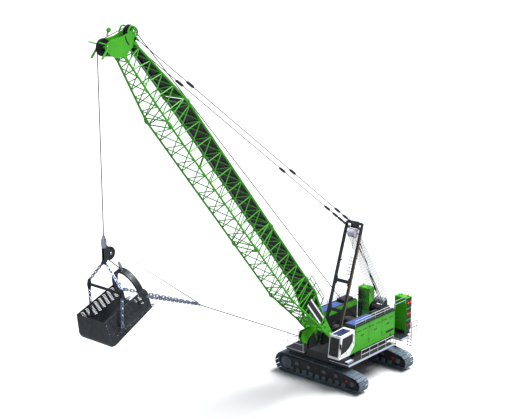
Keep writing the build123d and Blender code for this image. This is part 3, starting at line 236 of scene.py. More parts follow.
def make_enamel(name, shade, roughness, gloss):
    """Two-pack enamel sprayed on plate: even colour, soft gloss, faint orange peel and drifted dust."""
    tree, shader, where = finish(name, shade, Roughness=roughness, Coat_Weight=gloss, Coat_Roughness=0.12)
    noise, _ = mottle(tree, shader, where, shade, 0.9, 0.88, 1.08)
    roughen(tree, shader, noise.outputs["Fac"], roughness - 0.06, roughness + 0.12)
    # orange peel is 3 mm across; it is drawn at 40 mm so that it shows from a few metres
    peel = add_node(tree, "ShaderNodeTexNoise", {"Scale": 1 / 0.04, "Detail": 2}, {"Vector": where})
    ripple(tree, shader, peel.outputs["Fac"], 0.12, 0.002)


def make_worn_steel(name, shade, wear, metallic, roughness, grain, stretch):
    """Plate or casting that lost its paint: dark scale, and brighter rubbed streaks of bare steel."""
    tree, shader, where = finish(name, shade, Metallic=metallic, Roughness=roughness)
    _, mix = mottle(tree, shader, where, shade, grain, 0.72, 1.35, stretch)
    streak_place = add_node(tree, "ShaderNodeMapping", {"Scale": stretch}, {"Vector": where})
    streaks = add_node(tree, "ShaderNodeTexNoise", {"Scale": grain * 4, "Detail": 6, "Roughness": 0.7},
                       {"Vector": streak_place.outputs["Vector"]})
    rubbed = add_node(tree, "ShaderNodeMapRange", {"From Min": 0.55, "From Max": 0.75, "To Max": wear},
                      {"Value": streaks.outputs["Fac"]})
    bright = add_node(tree, "ShaderNodeMix",
                      {"data_type": "RGBA", 7: (*(min(1, c * 3 + 0.05) for c in shade), 1)},
                      {0: rubbed.outputs["Result"], 6: mix.outputs[2]})
    tree.links.new(bright.outputs[2], shader.inputs["Base Color"])
    roughen(tree, shader, streaks.outputs["Fac"], roughness + 0.12, roughness - 0.15)
    ripple(tree, shader, streaks.outputs["Fac"], 0.25, 0.003)


def make_metal(name, shade, roughness, grain):
    """Bare or plated steel: bright, with a fine crystal or rolling pattern in its gloss."""
    tree, shader, where = finish(name, shade, Metallic=1.0, Roughness=roughness)
    noise, _ = mottle(tree, shader, where, shade, grain, 0.8, 1.12)
    roughen(tree, shader, noise.outputs["Fac"], roughness - 0.08, roughness + 0.12)


def make_rope(name, shade, strand):
    """Greased steel wire rope: strands a few centimetres apart lie aslant, dark between them."""
    tree, shader, where = finish(name, shade, Metallic=0.2, Roughness=0.55)
    lay = add_node(tree, "ShaderNodeTexWave", {"wave_type": "BANDS", "bands_direction": "DIAGONAL",
                                               "Scale": 0.35 / strand, "Distortion": 0.6},
                   {"Vector": where})
    mix = add_node(tree, "ShaderNodeMix", {"data_type": "RGBA", 6: (*(c * 0.35 for c in shade), 1),
                                           7: (*shade, 1)}, {0: lay.outputs["Fac"]})
    tree.links.new(mix.outputs[2], shader.inputs["Base Color"])
    ripple(tree, shader, lay.outputs["Fac"], 0.6, 0.004)


def make_glass(name, shade):
    """Tinted laminated glass: clear, very smooth, slightly wavy."""
    tree, shader, where = finish(name, shade, Roughness=0.02, IOR=1.52, Transmission_Weight=1.0)
    wave = add_node(tree, "ShaderNodeTexNoise", {"Scale": 2.5, "Detail": 1}, {"Vector": where})
    ripple(tree, shader, wave.outputs["Fac"], 0.05, 0.002)


def make_lens(name, shade, cell, glow):
    """Moulded polycarbonate lens with small prisms that break up the light; it glows by so much, which on the
    lamps is their own light and on the red reflectors is painted light.
    """
    tree, shader, where = finish(name, shade, Roughness=0.15, Coat_Weight=0.6)
    shader.inputs["Emission Color"].default_value = (*shade, 1)
    shader.inputs["Emission Strength"].default_value = glow
    prisms = add_node(tree, "ShaderNodeTexVoronoi", {"Scale": 1 / cell}, {"Vector": where})
    ripple(tree, shader, prisms.outputs["Distance"], 0.5, 0.004)


def make_tread(name, shade, pitch):
    """Anti-slip paint or chequered plate: matt, with close raised grains."""
    tree, shader, where = finish(name, shade, Roughness=0.55)
    mottle(tree, shader, where, shade, 1.4, 0.85, 1.12)
    grains = add_node(tree, "ShaderNodeTexVoronoi", {"Scale": 1 / pitch}, {"Vector": where})
    ripple(tree, shader, grains.outputs["Distance"], 0.7, 0.004)


def make_cloth(name, shade, thread):
    """Woven cloth or braid: two sets of threads over and under each other."""
    tree, shader, where = finish(name, shade, Roughness=0.9, Sheen_Weight=0.3)
    warp = add_node(tree, "ShaderNodeTexWave", {"bands_direction": "X", "Scale": 0.3 / thread},
                    {"Vector": where})
    weft = add_node(tree, "ShaderNodeTexWave", {"bands_direction": "Z", "Scale": 0.3 / thread},
                    {"Vector": where})
    weave = add_node(tree, "ShaderNodeMath", {"operation": "MULTIPLY"},
                     {0: warp.outputs["Fac"], 1: weft.outputs["Fac"]})
    mix = add_node(tree, "ShaderNodeMix", {"data_type": "RGBA", 6: (*(c * 0.6 for c in shade), 1),
                                           7: (*(c * 1.2 for c in shade), 1)}, {0: weave.outputs["Value"]})
    tree.links.new(mix.outputs[2], shader.inputs["Base Color"])
    ripple(tree, shader, weave.outputs["Value"], 0.5, 0.002)


def make_rubber(name, shade):
    """Black hose rubber: dull, faintly ribbed by its wrapping."""
    tree, shader, where = finish(name, shade, Roughness=0.6)
    wrap = add_node(tree, "ShaderNodeTexNoise", {"Scale": 60, "Detail": 3}, {"Vector": where})
    ripple(tree, shader, wrap.outputs["Fac"], 0.3, 0.002)


NODE_FINISH = {
    "green enamel": ("boom_foot", "boom_legs", "boom_insert_short", "boom_insert_long", "boom_top",
                     "boom_head", "fairlead",
                     "house_left", "house_right", "house_door_left_1", "house_door_left_2",
                     "house_door_left_3", "house_door_right_1", "house_door_right_2", "house_door_right_3",
                     "counterweight_left", "counterweight_right"),
    "white enamel": ("cab", "cab_door"),
    "chassis paint": ("carbody", "main_frame", "walkways", "winch_frame", "engine", "counterweight_carrier",
                      "cab_console", "slew_ring", "rear_ladder", "boom_walkway", "hoist_block",
                      "spreader_bar"),
    "mast enamel": ("mast",),
    "pendant paint": ("pendant_left", "pendant_right"),
    "track steel": ("track_near", "track_far"),
    "frame casting": ("track_wheels_near", "track_wheels_far", "side_frame_near", "side_frame_far"),
    "bucket plate": ("bucket",),
    "worn links": ("upper_chain_left", "upper_chain_right", "lower_chain_left", "lower_chain_right",
                   "drag_chain_left", "drag_chain_right", "drag_socket"),
    "black iron": ("head_sheave", "rear_sheave", "fairlead_sheave_upper", "fairlead_sheave_lower",
                   "dump_sheave", "hoist_drum", "drag_drum", "luffing_drum"),
    "galvanised steel": ("handrails",),
    "sheave paint": ("mast_sheaves",),
    "seat cloth": ("operator_seat",),
}


class CraneFinishes(bpy.types.Operator):
    """Make every finish and give the frame's own pieces theirs"""
    bl_idname = "crane.finishes"
    bl_label = "Finishes"

    def execute(self, context):
        c = context.scene.crane_colours
        make_enamel("green enamel", c.body, 0.42, 0.06)
        make_enamel("white enamel", c.cab, 0.35, 0.1)
        make_enamel("mast enamel", c.mast, 0.42, 0.1)
        make_enamel("chassis paint", c.chassis, 0.5, 0.05)
        make_enamel("pendant paint", linear("15171A"), 0.5, 0.0)
        make_enamel("sheave paint", linear("D2CEDC"), 0.4, 0.1)
        make_worn_steel("track steel", c.track, 0.35, 0.15, 0.5, 1.5, (1, 1, 1))
        make_worn_steel("roller steel", linear("56626C"), 0.3, 0.15, 0.5, 1.5, (1, 1, 1))
        make_worn_steel("frame casting", linear("23272B"), 0.3, 0.1, 0.55, 1.5, (1, 1, 1))
        make_worn_steel("bucket plate", c.bucket, 0.4, 0.4, 0.48, 1.2, (1, 3, 1))
        make_worn_steel("worn links", c.chain, 0.5, 0.85, 0.36, 6, (1, 1, 1))
        make_metal("zinc plate", c.pin, 0.3, 12)
        make_enamel("galvanised steel", c.rail, 0.4, 0.1)
        make_enamel("deck edge", c.deck, 0.4, 0.1)
        make_worn_steel("black iron", c.drum, 0.3, 0.5, 0.42, 3, (1, 1, 1))
        make_rope("rope wire", c.rope, 0.012)
        make_glass("tinted glass", c.glass)
        make_enamel("dark screen", linear("14171B"), 0.12, 0.4)
        make_enamel("roof glass", linear("27355C"), 0.15, 0.4)
        make_lens("amber lens", c.amber, 0.012, 0.35)
        # the red reflectors are no lamps: their glow of 0.3 is painted light, standing for the shine their
        # prisms send back
        make_lens("red lens with painted glow", c.red, 0.01, 0.3)
        make_lens("lamp lens", linear("F4F6FA"), 0.015, 0.2)
        make_tread("roof paint", c.roof, 0.03)
        make_tread("deck grating", linear("0F0F14"), 0.05)
        make_cloth("seat cloth", c.fabric, 0.004)
        make_cloth("hose sleeve", c.sleeve, 0.006)
        make_rubber("hose rubber", linear("17191B"))
        for name, nodes in NODE_FINISH.items():
            for node in nodes:
                mesh = frame["nodes"][node].data
                mesh.materials.clear()
                mesh.materials.append(FINISH[name])
        return {"FINISHED"}


# ---------------------------------------------------------------- modelling kit
def bare():
    """Leave nothing selected."""
    bpy.ops.object.select_all(action="DESELECT")


def only(obj):
    """Select one piece and make it the active one."""
    bare()
    obj.select_set(True)
    bpy.context.view_layer.objects.active = obj


def soften(obj, width, segments=1):
    """Break the edges of a piece."""
    only(obj)
    bpy.ops.object.modifier_add(type="BEVEL")
    bevel = obj.modifiers[-1]
    bevel.width = width
    bevel.segments = segments
    bevel.limit_method = "ANGLE"
    bpy.ops.object.modifier_apply(modifier=bevel.name)
    return obj


def block(low, high, edge=0.006):
    """A bar or plate between two corners, its edges broken."""
    low, high = Vector(low), Vector(high)
    bare()
    bpy.ops.mesh.primitive_cube_add(size=1, location=(low + high) / 2)
    obj = bpy.context.object
    obj.scale = [abs(side) for side in high - low]
    bpy.ops.object.transform_apply(location=True, rotation=True, scale=True)
    return soften(obj, edge) if edge else obj


def plate(outline, y0, y1, edge=0.005):
    """A flat plate of any outline, given as (x, z) corners, from y0 to y1."""
    bare()
    bpy.ops.mesh.primitive_circle_add(vertices=len(outline), fill_type="NGON")
    obj = bpy.context.object
    for vertex, (x, z) in zip(obj.data.vertices, outline):
        vertex.co = (x, y0, z)
    bpy.ops.object.mode_set(mode="EDIT")
    bpy.ops.mesh.select_all(action="SELECT")
    bpy.ops.mesh.extrude_region_move(TRANSFORM_OT_translate={"value": (0, y1 - y0, 0)})
    bpy.ops.mesh.select_all(action="SELECT")
    bpy.ops.mesh.normals_make_consistent(inside=False)
    bpy.ops.object.mode_set(mode="OBJECT")
    return soften(obj, edge) if edge else obj


def turned(profile, steps=32):
    """A body of revolution about the Y axis, from a closed profile of (radius, place along the axis)."""
    bare()
    bpy.ops.mesh.primitive_circle_add(vertices=len(profile))
    obj = bpy.context.object
    for vertex, (r, y) in zip(obj.data.vertices, profile):
        vertex.co = (r, y, 0)
    bpy.ops.object.mode_set(mode="EDIT")
    bpy.ops.mesh.select_all(action="SELECT")
    bpy.ops.mesh.spin(steps=steps, angle=2 * pi, center=(0, 0, 0), axis=(0, 1, 0))
    bpy.ops.mesh.select_all(action="SELECT")
    bpy.ops.mesh.remove_doubles(threshold=1e-5)
    bpy.ops.mesh.normals_make_consistent(inside=False)
    bpy.ops.object.mode_set(mode="OBJECT")
    return obj


def tubes(paths, radius, rounds=1, kind="POLY", closed=False):
    """Tubes along paths of points, joined in one piece."""
    bare()
    bpy.ops.curve.primitive_nurbs_path_add()
    obj = bpy.context.object
    line = obj.data
    line.splines.clear()
    for path in paths:
        run = line.splines.new(kind)
        run.points.add(len(path) - 1)
        for point, place in zip(run.points, path):
            point.co = (*place, 1)
        run.use_cyclic_u = closed
        if kind == "NURBS":
            run.order_u = 3
            run.use_endpoint_u = not closed
    line.dimensions = "3D"
    line.resolution_u = 6
    line.bevel_depth = radius
    line.bevel_resolution = rounds
    line.use_fill_caps = True
    bpy.ops.object.convert(target="MESH")
    return bpy.context.object


def joined(pieces):
    """Several pieces made one."""
    bare()
    for piece in pieces:
        piece.select_set(True)
    bpy.context.view_layer.objects.active = pieces[0]
    if len(pieces) > 1:
        bpy.ops.object.join()
    return bpy.context.view_layer.objects.active


def repeated(obj, places):
    """One piece made of copies of obj, one laid at each place, and obj itself taken away."""
    copies = []
    for place in places:
        copy = obj.copy()
        copy.data = obj.data.copy()
        copy.data.transform(place)
        bpy.context.scene.collection.objects.link(copy)
        copies.append(copy)
    bpy.data.objects.remove(obj)
    return joined(copies)


def moved(obj, matrix):
    """Lay a piece drawn in its own axes into place."""
    obj.data.transform(matrix)
    return obj


def at(x, y, z):
    """A shift."""
    return Matrix.Translation((x, y, z))


def add_piece(obj, name, finish_name, body, smooth=35, matrix=None):
    """Name a finished piece, or several joined, give it its finish and let it ride on its body."""
    if isinstance(obj, list):
        obj = joined(obj)
    if matrix is not None:
        obj.data.transform(matrix)
    obj.name = name
    obj.data.name = name
    only(obj)
    bpy.ops.object.shade_smooth_by_angle(angle=radians(smooth))
    obj.data.materials.clear()
    obj.data.materials.append(FINISH[finish_name])
    if body:
        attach(obj, body)
    return obj


def line_points(start, end, count):
    """Evenly spread points between two places."""
    start, end = Vector(start), Vector(end)
    return [start.lerp(end, i / (count - 1)) for i in range(count)]


# ---------------------------------------------------------------- boom
HALF_W, HALF_D = 1.965 / 2, 1.957 / 2
COLLAR_LENGTH, COLLAR_R, END_BAR = 0.19, 0.094, 0.04
SECTIONS = {
    # node: (start, end, (half width, half depth above, below) at start, and at end, bays)
    "boom_insert_short": (6.0, 12.0, (HALF_W, HALF_D, HALF_D), (HALF_W, HALF_D, HALF_D), 8),
    "boom_insert_long": (12.0, 24.0, (HALF_W, HALF_D, HALF_D), (HALF_W, HALF_D, HALF_D), 16),
    "boom_top": (24.0, 28.98, (HALF_W, HALF_D, HALF_D), (0.41, 0.57, 0.49), 8),
}
TAPER = (HALF_W, HALF_D, 0.27 + (HALF_D - 0.27) * (4.5 - 1.7) / (6.0 - 1.7))


def section_tubes(start, end, size0, size1, bays, chord, lacing):
    """One lattice section, in boom axes: chords, their collars, end bars and zigzag lacing on four faces.

    On the left and upper faces the zigzag starts on the upper left chord, on the others on the far one.
    """
    corners = {}
    for side in (-1, 1):
        for level in (-1, 1):
            n0 = size0[1] if level > 0 else -size0[2]
            n1 = size1[1] if level > 0 else -size1[2]
            p0, p1 = Vector((start, side * size0[0], n0)), Vector((end, side * size1[0], n1))
            run = (p1 - p0).normalized()
            corners[side, level] = (p0 + run * 0.02, p1 - run * 0.02)
    chords, collars, bars, ends = [], [], [], []
    for p0, p1 in corners.values():
        run = (p1 - p0).normalized()
        chords.append((p0, p1))
        collars += [(p0, p0 + run * COLLAR_LENGTH), (p1 - run * COLLAR_LENGTH, p1)]
    faces = (((1, 1), (1, -1)), ((-1, -1), (-1, 1)), ((1, 1), (-1, 1)), ((1, -1), (-1, -1)))
    for one, two in faces:
        a0, a1 = corners[one]
        b0, b1 = corners[two]
        shift_a = (a1 - a0).normalized() * (COLLAR_LENGTH + 2 * END_BAR)
        shift_b = (b1 - b0).normalized() * (COLLAR_LENGTH + 2 * END_BAR)
        a0, a1, b0, b1 = a0 + shift_a, a1 - shift_a, b0 + shift_b, b1 - shift_b
        stops = [(a0.lerp(a1, i / bays), b0.lerp(b1, i / bays))[i % 2] for i in range(bays + 1)]
        bars += [(stops[i], stops[i + 1]) for i in range(bays)]
        ends += [(a0, b0), (a1, b1)]
    return [tubes(chords, chord / 2, 2), tubes(collars, COLLAR_R, 2), tubes(bars, lacing / 2, 1),
            tubes(ends, END_BAR, 1)]


class CraneBoom(bpy.types.Operator):
    """Round chord and lacing tubes of the boom's sections, with their collars"""
    bl_idname = "crane.boom"
    bl_label = "Boom lattice"

    def execute(self, context):
        s = context.scene.crane_sizes
        for node, (start, end, size0, size1, bays) in SECTIONS.items():
            piece = joined(section_tubes(start, end, size0, size1, bays, s.chord, s.lacing))
            add_piece(piece, node + "_tubes", "green enamel", "boom", matrix=BOOM)
            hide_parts(node)
        full, leg_size = (HALF_W, HALF_D, HALF_D), (HALF_W, 0.27, 0.27)
        parts = section_tubes(4.5, 6.0, TAPER, full, 2, s.chord, s.lacing)
        parts += section_tubes(1.7, 4.5, leg_size, TAPER, 4, s.chord, s.lacing)
        piece = add_piece(parts, "boom_foot_tubes", "green enamel", "boom", matrix=BOOM)
        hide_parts("boom_foot")
        return {"FINISHED"}


class CraneJoints(bpy.types.Operator):
    """Pin lugs at the collars, the flat cross bars at the section joints and the rail line along them"""
    bl_idname = "crane.joints"
    bl_label = "Section joints"

    def execute(self, context):
        lugs, pins = [], []
        for along in (6.0, 12.0, 24.0):
            for side in (-1, 1):
                for level in (-1, 1):
                    for way in (-1, 1):
                        y = side * HALF_W + way * 0.045
                        z = level * HALF_D
                        lugs.append(block((along - 0.14, y - 0.014, z - 0.115),
                                          (along + 0.14, y + 0.014, z + 0.115),
                                          0.02))
                    pins.append(((along, side * HALF_W - 0.13, level * HALF_D),
                                 (along, side * HALF_W + 0.13, level * HALF_D)))
        add_piece(lugs, "joint_lugs", "green enamel", "boom", matrix=BOOM)
        add_piece(tubes(pins, 0.036, 2), "joint_pins", "zinc plate", "boom", matrix=BOOM)
        low = HALF_D + 0.045
        bars = [block((along - 0.3, -HALF_W, low - 0.03), (along - 0.235, HALF_W, low), 0.004)
                for along in (6.0, 12.0, 24.0)]
        y, z = -HALF_W + 0.13, HALF_D + 0.03
        bars.append(tubes([[(x, y, z) for x in (4.9, 12.0, 18.0, 23.9)], [(24.1, y, z), (28.8, -0.3, 0.52)]],
                          0.03, 1))
        add_piece(bars, "boom_rail_line", "galvanised steel", "boom", matrix=BOOM)
        return {"FINISHED"}


class CraneBoomDeck(bpy.types.Operator):
    """Dark slatted deck on the boom's upper face"""
    bl_idname = "crane.boom_deck"
    bl_label = "Boom deck"

    def execute(self, context):
        low, high = HALF_D + 0.0683, HALF_D + 0.0983
        slats = []
        for start, end in ((4.7, 6.0), (6.0, 12.0), (12.0, 23.98)):
            count = round((end - start) / 0.1)
            pitch = (end - start) / count
            slat = block((-0.037, -HALF_W + 0.03, low + 0.004), (0.037, HALF_W - 0.03, high), 0.004)
            slats.append(repeated(slat, [at(start + pitch * (i + 0.5), 0, 0) for i in range(count)]))
            slats.append(block((start, -HALF_W, low), (end, HALF_W, low + 0.004), 0.001))
        piece = add_piece(slats, "boom_deck_slats", "deck grating", "boom", matrix=BOOM)
        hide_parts("boom_walkway")
        # tapered panels towards the head and the foot
        ends = []
        for x0, n0, w0, x1, n1, w1 in ((24.05, HALF_D, HALF_W, 28.9, 0.57, 0.41),
                                       (4.72, HALF_D - 0.03, HALF_W, 1.8, 0.3, HALF_W)):
            sheet = plate([(x0, n0 + 0.07), (x1, n1 + 0.07), (x1, n1 + 0.085), (x0, n0 + 0.085)], -w0, w0, 0)
            for vertex in sheet.data.vertices:
                vertex.co.y *= 1 + (w1 / w0 - 1) * (vertex.co.x - x0) / (x1 - x0)
            ends.append(sheet)
        add_piece(ends, "boom_deck_ends", "deck grating", "boom", matrix=BOOM)
        return {"FINISHED"}


class CraneHead(bpy.types.Operator):
    """Rope guards, keeper loops, knob and axle caps of the boom head, and its slots as dark plates of painted
    shade
    """
    bl_idname = "crane.head"
    bl_label = "Boom head trim"

    def execute(self, context):
        loops = []
        for side in (-1, 1):
            y = side * 0.36
            loops.append([(29.25, y, 0.95), (29.35, y, 1.18), (29.62, y, 1.22), (29.92, y, 1.08),
                          (30.0, y, 0.9),
                          (29.85, y, 0.6)])
        add_piece(tubes(loops, 0.055, 2, "NURBS"), "rope_keepers", "green enamel", "boom", matrix=BOOM)
        guards = [[(30.3, side * 0.44, -1.04), (30.17, side * 0.44, -1.78)] for side in (-1, 1)]
        guards.append([(29.55, -0.36, 1.12), (29.55, 0.36, 1.12)])
        add_piece(tubes(guards, 0.07, 3), "rope_guard_arms", "green enamel", "boom", 60, BOOM)
        knob = turned([(0.04, 0.06), (0.12, 0.06), (0.15, 0.03), (0.15, -0.03), (0.12, -0.06), (0.04, -0.06)],
                      20)
        knob = joined([moved(knob, at(30.46, -0.38, 0.12)),
                       tubes([[(30.3, -0.38, -0.2), (30.46, -0.38, 0.12)]], 0.05, 2)])
        add_piece(knob, "head_knob", "green enamel", "boom", matrix=BOOM)
        caps = []
        for x, z, r in ((30.3, -1.04, 0.11), (29.59, 0.93, 0.085)):
            for side in (-1, 1):
                cap = turned([(0.0001, 0.03), (r * 0.8, 0.03), (r, 0.015), (r, 0), (0.0001, 0)], 20)
                turn = facing(side)
                caps.append(moved(cap, at(x, side * 0.39, z) @ turn))
        add_piece(caps, "head_axle_caps", "zinc plate", "boom", matrix=BOOM)
        # the slots are not cut: thin dark plates on the side plates stand for them, and their darkness is
        # painted shade
        slots = [plate([(29.86, 0.36), (29.58, 0.25), (29.3, 0.25), (29.28, 0.15), (29.56, 0.15),
                        (29.84, 0.25)],
                       side * 0.381, side * 0.386, 0.001) for side in (-1, 1)]
        add_piece(slots, "head_slots_painted_shade", "chassis paint", "boom", matrix=BOOM)
        return {"FINISHED"}


# ---------------------------------------------------------------- ropes and winches
def tangent_side(centre_a, r_a, centre_b, r_b, side_a, side_b):
    """Straight run between two rope sheaves in the X-Z plane, leaving and meeting them as a tangent."""
    ax, az, bx, bz = centre_a.x, centre_a.z, centre_b.x, centre_b.z
    along = atan2(bz - az, bx - ax)
    gap = ((bx - ax) ** 2 + (bz - az) ** 2) ** 0.5
    lean = (side_a * r_a - side_b * r_b) / gap
    out = along + pi / 2 - lean
    a = Vector((ax + side_a * r_a * cos(out), 0, az + side_a * r_a * sin(out)))
    b = Vector((bx + side_b * r_b * cos(out), 0, bz + side_b * r_b * sin(out)))
    return a, b


def on_sheave(centre, r, start, end, count=14):
    """Points of a rope lying round a sheave between two angles."""
    return [Vector((centre.x + r * cos(start + (end - start) * i / count), 0,
                    centre.z + r * sin(start + (end - start) * i / count))) for i in range(count + 1)]


def angle_of(point, centre):
    return atan2(point.z - centre.z, point.x - centre.x)


def winding(length, radius, rope):
    """Rope wound on a drum about the Y axis, one turn beside the other."""
    turns = int(length / rope)
    profile = [(radius - 0.02, -length / 2)]
    for i in range(turns):
        y = -length / 2 + rope * i
        profile += [(radius, y + 0.1 * rope), (radius + rope * 0.45, y + rope * 0.5),
                    (radius, y + 0.9 * rope)]
    profile.append((radius - 0.02, length / 2))
    return turned(profile, 36)


HOIST_DRUM_R, REAR_SHEAVE_R, HEAD_SHEAVE_R, DUMP_SHEAVE_R = 0.45, 0.33, 0.435, 0.335


class CraneRopes(bpy.types.Operator):
    """Hoist, drag and dump ropes"""
    bl_idname = "crane.ropes"
    bl_label = "Ropes"

    def execute(self, context):
        s = context.scene.crane_sizes
        r = s.hoist_rope / 2
        head, rear = PIN["head_sheave_spin"], PIN["rear_sheave_spin"]
        drum = PIN["hoist_drum_spin"]
        # hoist rope: drum, rear sheave, over the head sheave to the line
        a, b = tangent_side(drum, HOIST_DRUM_R, rear, REAR_SHEAVE_R, 1, 1)
        c, d = tangent_side(rear, REAR_SHEAVE_R, head, HEAD_SHEAVE_R, 1, 1)
        run = add_piece(tubes([line_points(a, b, 25)], r, 2), "hoist_rope_to_drum", "rope wire", None, 60)
        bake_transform(run)
        path = [b] + on_sheave(rear, REAR_SHEAVE_R, angle_of(b, rear), angle_of(c, rear), 5)[1:-1] + [c, d]
        path += on_sheave(head, HEAD_SHEAVE_R, angle_of(d, head), 0)[1:]
        upper = tubes([path], r, 2)
        add_piece(upper, "hoist_rope_run", "rope wire", "boom", 60)
        low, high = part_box("hoist_rope")
        x, y = (low[0] + high[0]) / 2, (low[1] + high[1]) / 2
        line = add_piece(tubes([line_points(Vector((x, y, low[2])), Vector((x, y, high[2])), 12)], r, 2),
                         "hoist_rope_line",
                         "rope wire", "hoist_line", 60)
        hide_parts("hoist_rope")
        # drag rope: from its socket to the fairlead
        start = DRAG_SOCKET
        slope = Vector((-cos(ROPE_SLOPE), 0, -sin(ROPE_SLOPE)))
        fair = BOOM @ Vector((1.68, 0, -1.335))
        end = start + slope * ((fair - start).dot(slope))
        piece = add_piece(tubes([line_points(start, end, 41)], r, 2), "drag_rope_run", "rope wire", None, 60)
        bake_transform(piece)
        add_piece(tubes([[end, end + slope * 0.4, PIN["drag_drum_spin"] + Vector((0.1, 0, 0.42))]], r, 2),
                  "drag_rope_to_drum", "rope wire", "superstructure", 60)
        # dump rope: from the arch up to its sheave, then down to the drag socket
        sheave = PIN["dump_sheave_spin"]
        arch = BUCKET @ Vector((3.23, 0, 2.72))
        x, y = tangent_side(arch, 0.0, sheave, DUMP_SHEAVE_R, 1, -1)
        low = add_piece(tubes([line_points(arch, y, 9)], r, 1), "dump_rope_lower", "rope wire", None, 60)
        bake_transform(low)
        p, q = tangent_side(sheave, DUMP_SHEAVE_R, start - slope * 0.15 + Vector((0, 0, 0.1)), 0.0, -1, 1)
        round_sheave = on_sheave(sheave, DUMP_SHEAVE_R, angle_of(y, sheave), angle_of(p, sheave) - 2 * pi, 10)
        add_piece(tubes([[y] + round_sheave[1:-1] + [p, q]], r, 1), "dump_rope_upper", "rope wire",
                  "hoist_line", 60)
        return {"FINISHED"}


class CraneLuffing(bpy.types.Operator):
    """Falls of the luffing rope between the mast's sheaves and the rear winch"""
    bl_idname = "crane.luffing"
    bl_label = "Luffing rope"

    def execute(self, context):
        s = context.scene.crane_sizes
        top, low = PIN["mast_sheaves_spin"], LUFFING_BLOCK
        falls = []
        for i in range(s.luffing_falls):
            share = i / (s.luffing_falls - 1) - 0.5
            a, b = tangent_side(top, 0.26, low, 0.26, -1 if i % 2 else 1, -1 if i % 2 else 1)
            falls.append([a + Vector((0, share * 0.64, 0)), b + Vector((0, share * 1.0, 0))])
        piece = tubes([line_points(f[0], f[1], 6) for f in falls], s.luffing_rope / 2, 1)
        lead = tubes([line_points(top + Vector((-0.26, 0.1, 0)),
                                  PIN["luffing_drum_spin"] + Vector((-0.3, 0.1, 0.1)), 6)],
                     0.024, 1)
        piece = joined([piece, lead])
        piece = add_piece(piece, "luffing_rope_falls", "rope wire", None, 60)
        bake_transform(piece)
        return {"FINISHED"}


class CraneWinches(bpy.types.Operator):
    """Rope wound on the drums, their flange rims and drive housings"""
    bl_idname = "crane.winches"
    bl_label = "Winch trim"

    def execute(self, context):
        s = context.scene.crane_sizes
        table = (("hoist_drum", 0.43, 0.65, s.hoist_rope), ("drag_drum", 0.4, 0.59, s.hoist_rope),
                 ("luffing_drum", 0.33, 0.47, s.luffing_rope))
        for drum, radius, half, rope in table:
            centre = PIN[drum + "_spin"]
            piece = winding(2 * half, radius + 0.012, rope)
            add_piece(piece, drum + "_rope", "rope wire", drum, 30, Matrix.Translation(centre))
            rims = []
            for side in (-1, 1):
                ring = turned([(radius + 0.1, 0.02), (radius + 0.155, 0.02), (radius + 0.165, 0),
                               (radius + 0.155, -0.02),
                               (radius + 0.1, -0.02)], 36)
                rims.append(moved(ring, at(0, side * (half + 0.025), 0)))
                holes = turned([(0.05, 0.032), (0.06, 0.026), (0.06, 0), (0.05, 0)], 12)
                places = [at(0, side * (half + 0.04), 0) @ Matrix.Rotation(k * pi / 4, 4,
                                                                           "Y") @ at(radius * 0.62, 0, 0)
                          for k in range(8)]
                if side < 0:
                    places = [place @ Matrix.Rotation(pi, 4, "X") for place in places]
                rims.append(repeated(holes, places))
            add_piece(rims, drum + "_flange_rims", "black iron", drum, 30, Matrix.Translation(centre))
            drive = turned([(0.0001, 0.3), (0.13, 0.3), (0.16, 0.26), (0.16, 0.12), (0.23, 0.1), (0.23, 0),
                            (0.0001, 0)], 24)
            add_piece(drive, drum + "_drive", "green enamel", "superstructure", 30,
                      Matrix.Translation(centre) @ at(0, half + 0.151, 0))
        # block sheaves of the luffing rope behind the winch
        block_sheaves = []
        for i in range(5):
            wheel = turned([(0.05, 0.04), (0.2, 0.02), (0.24, 0.045), (0.29, 0.05), (0.262, 0.012),
                            (0.262, -0.012),
                            (0.29, -0.05), (0.24, -0.045), (0.2, -0.02), (0.05, -0.04)], 28)
            block_sheaves.append(moved(wheel, at(0, (i - 2) * 0.17, 0)))
        add_piece(block_sheaves, "luffing_block_sheaves", "galvanised steel", "superstructure", 30,
                  Matrix.Translation(LUFFING_BLOCK))
        stand = [plate([(-0.22, -1.9), (0.3, -1.9), (0.14, 0.12), (-0.14, 0.12)], side * 0.5 - 0.03,
                       side * 0.5 + 0.03, 0.01) for side in (-1, 1)]
        stand.append(tubes([((0, -0.53, 0), (0, 0.53, 0))], 0.05, 2))
        add_piece(stand, "luffing_block_stand", "mast enamel", "superstructure", 30,
                  Matrix.Translation(LUFFING_BLOCK))
        return {"FINISHED"}


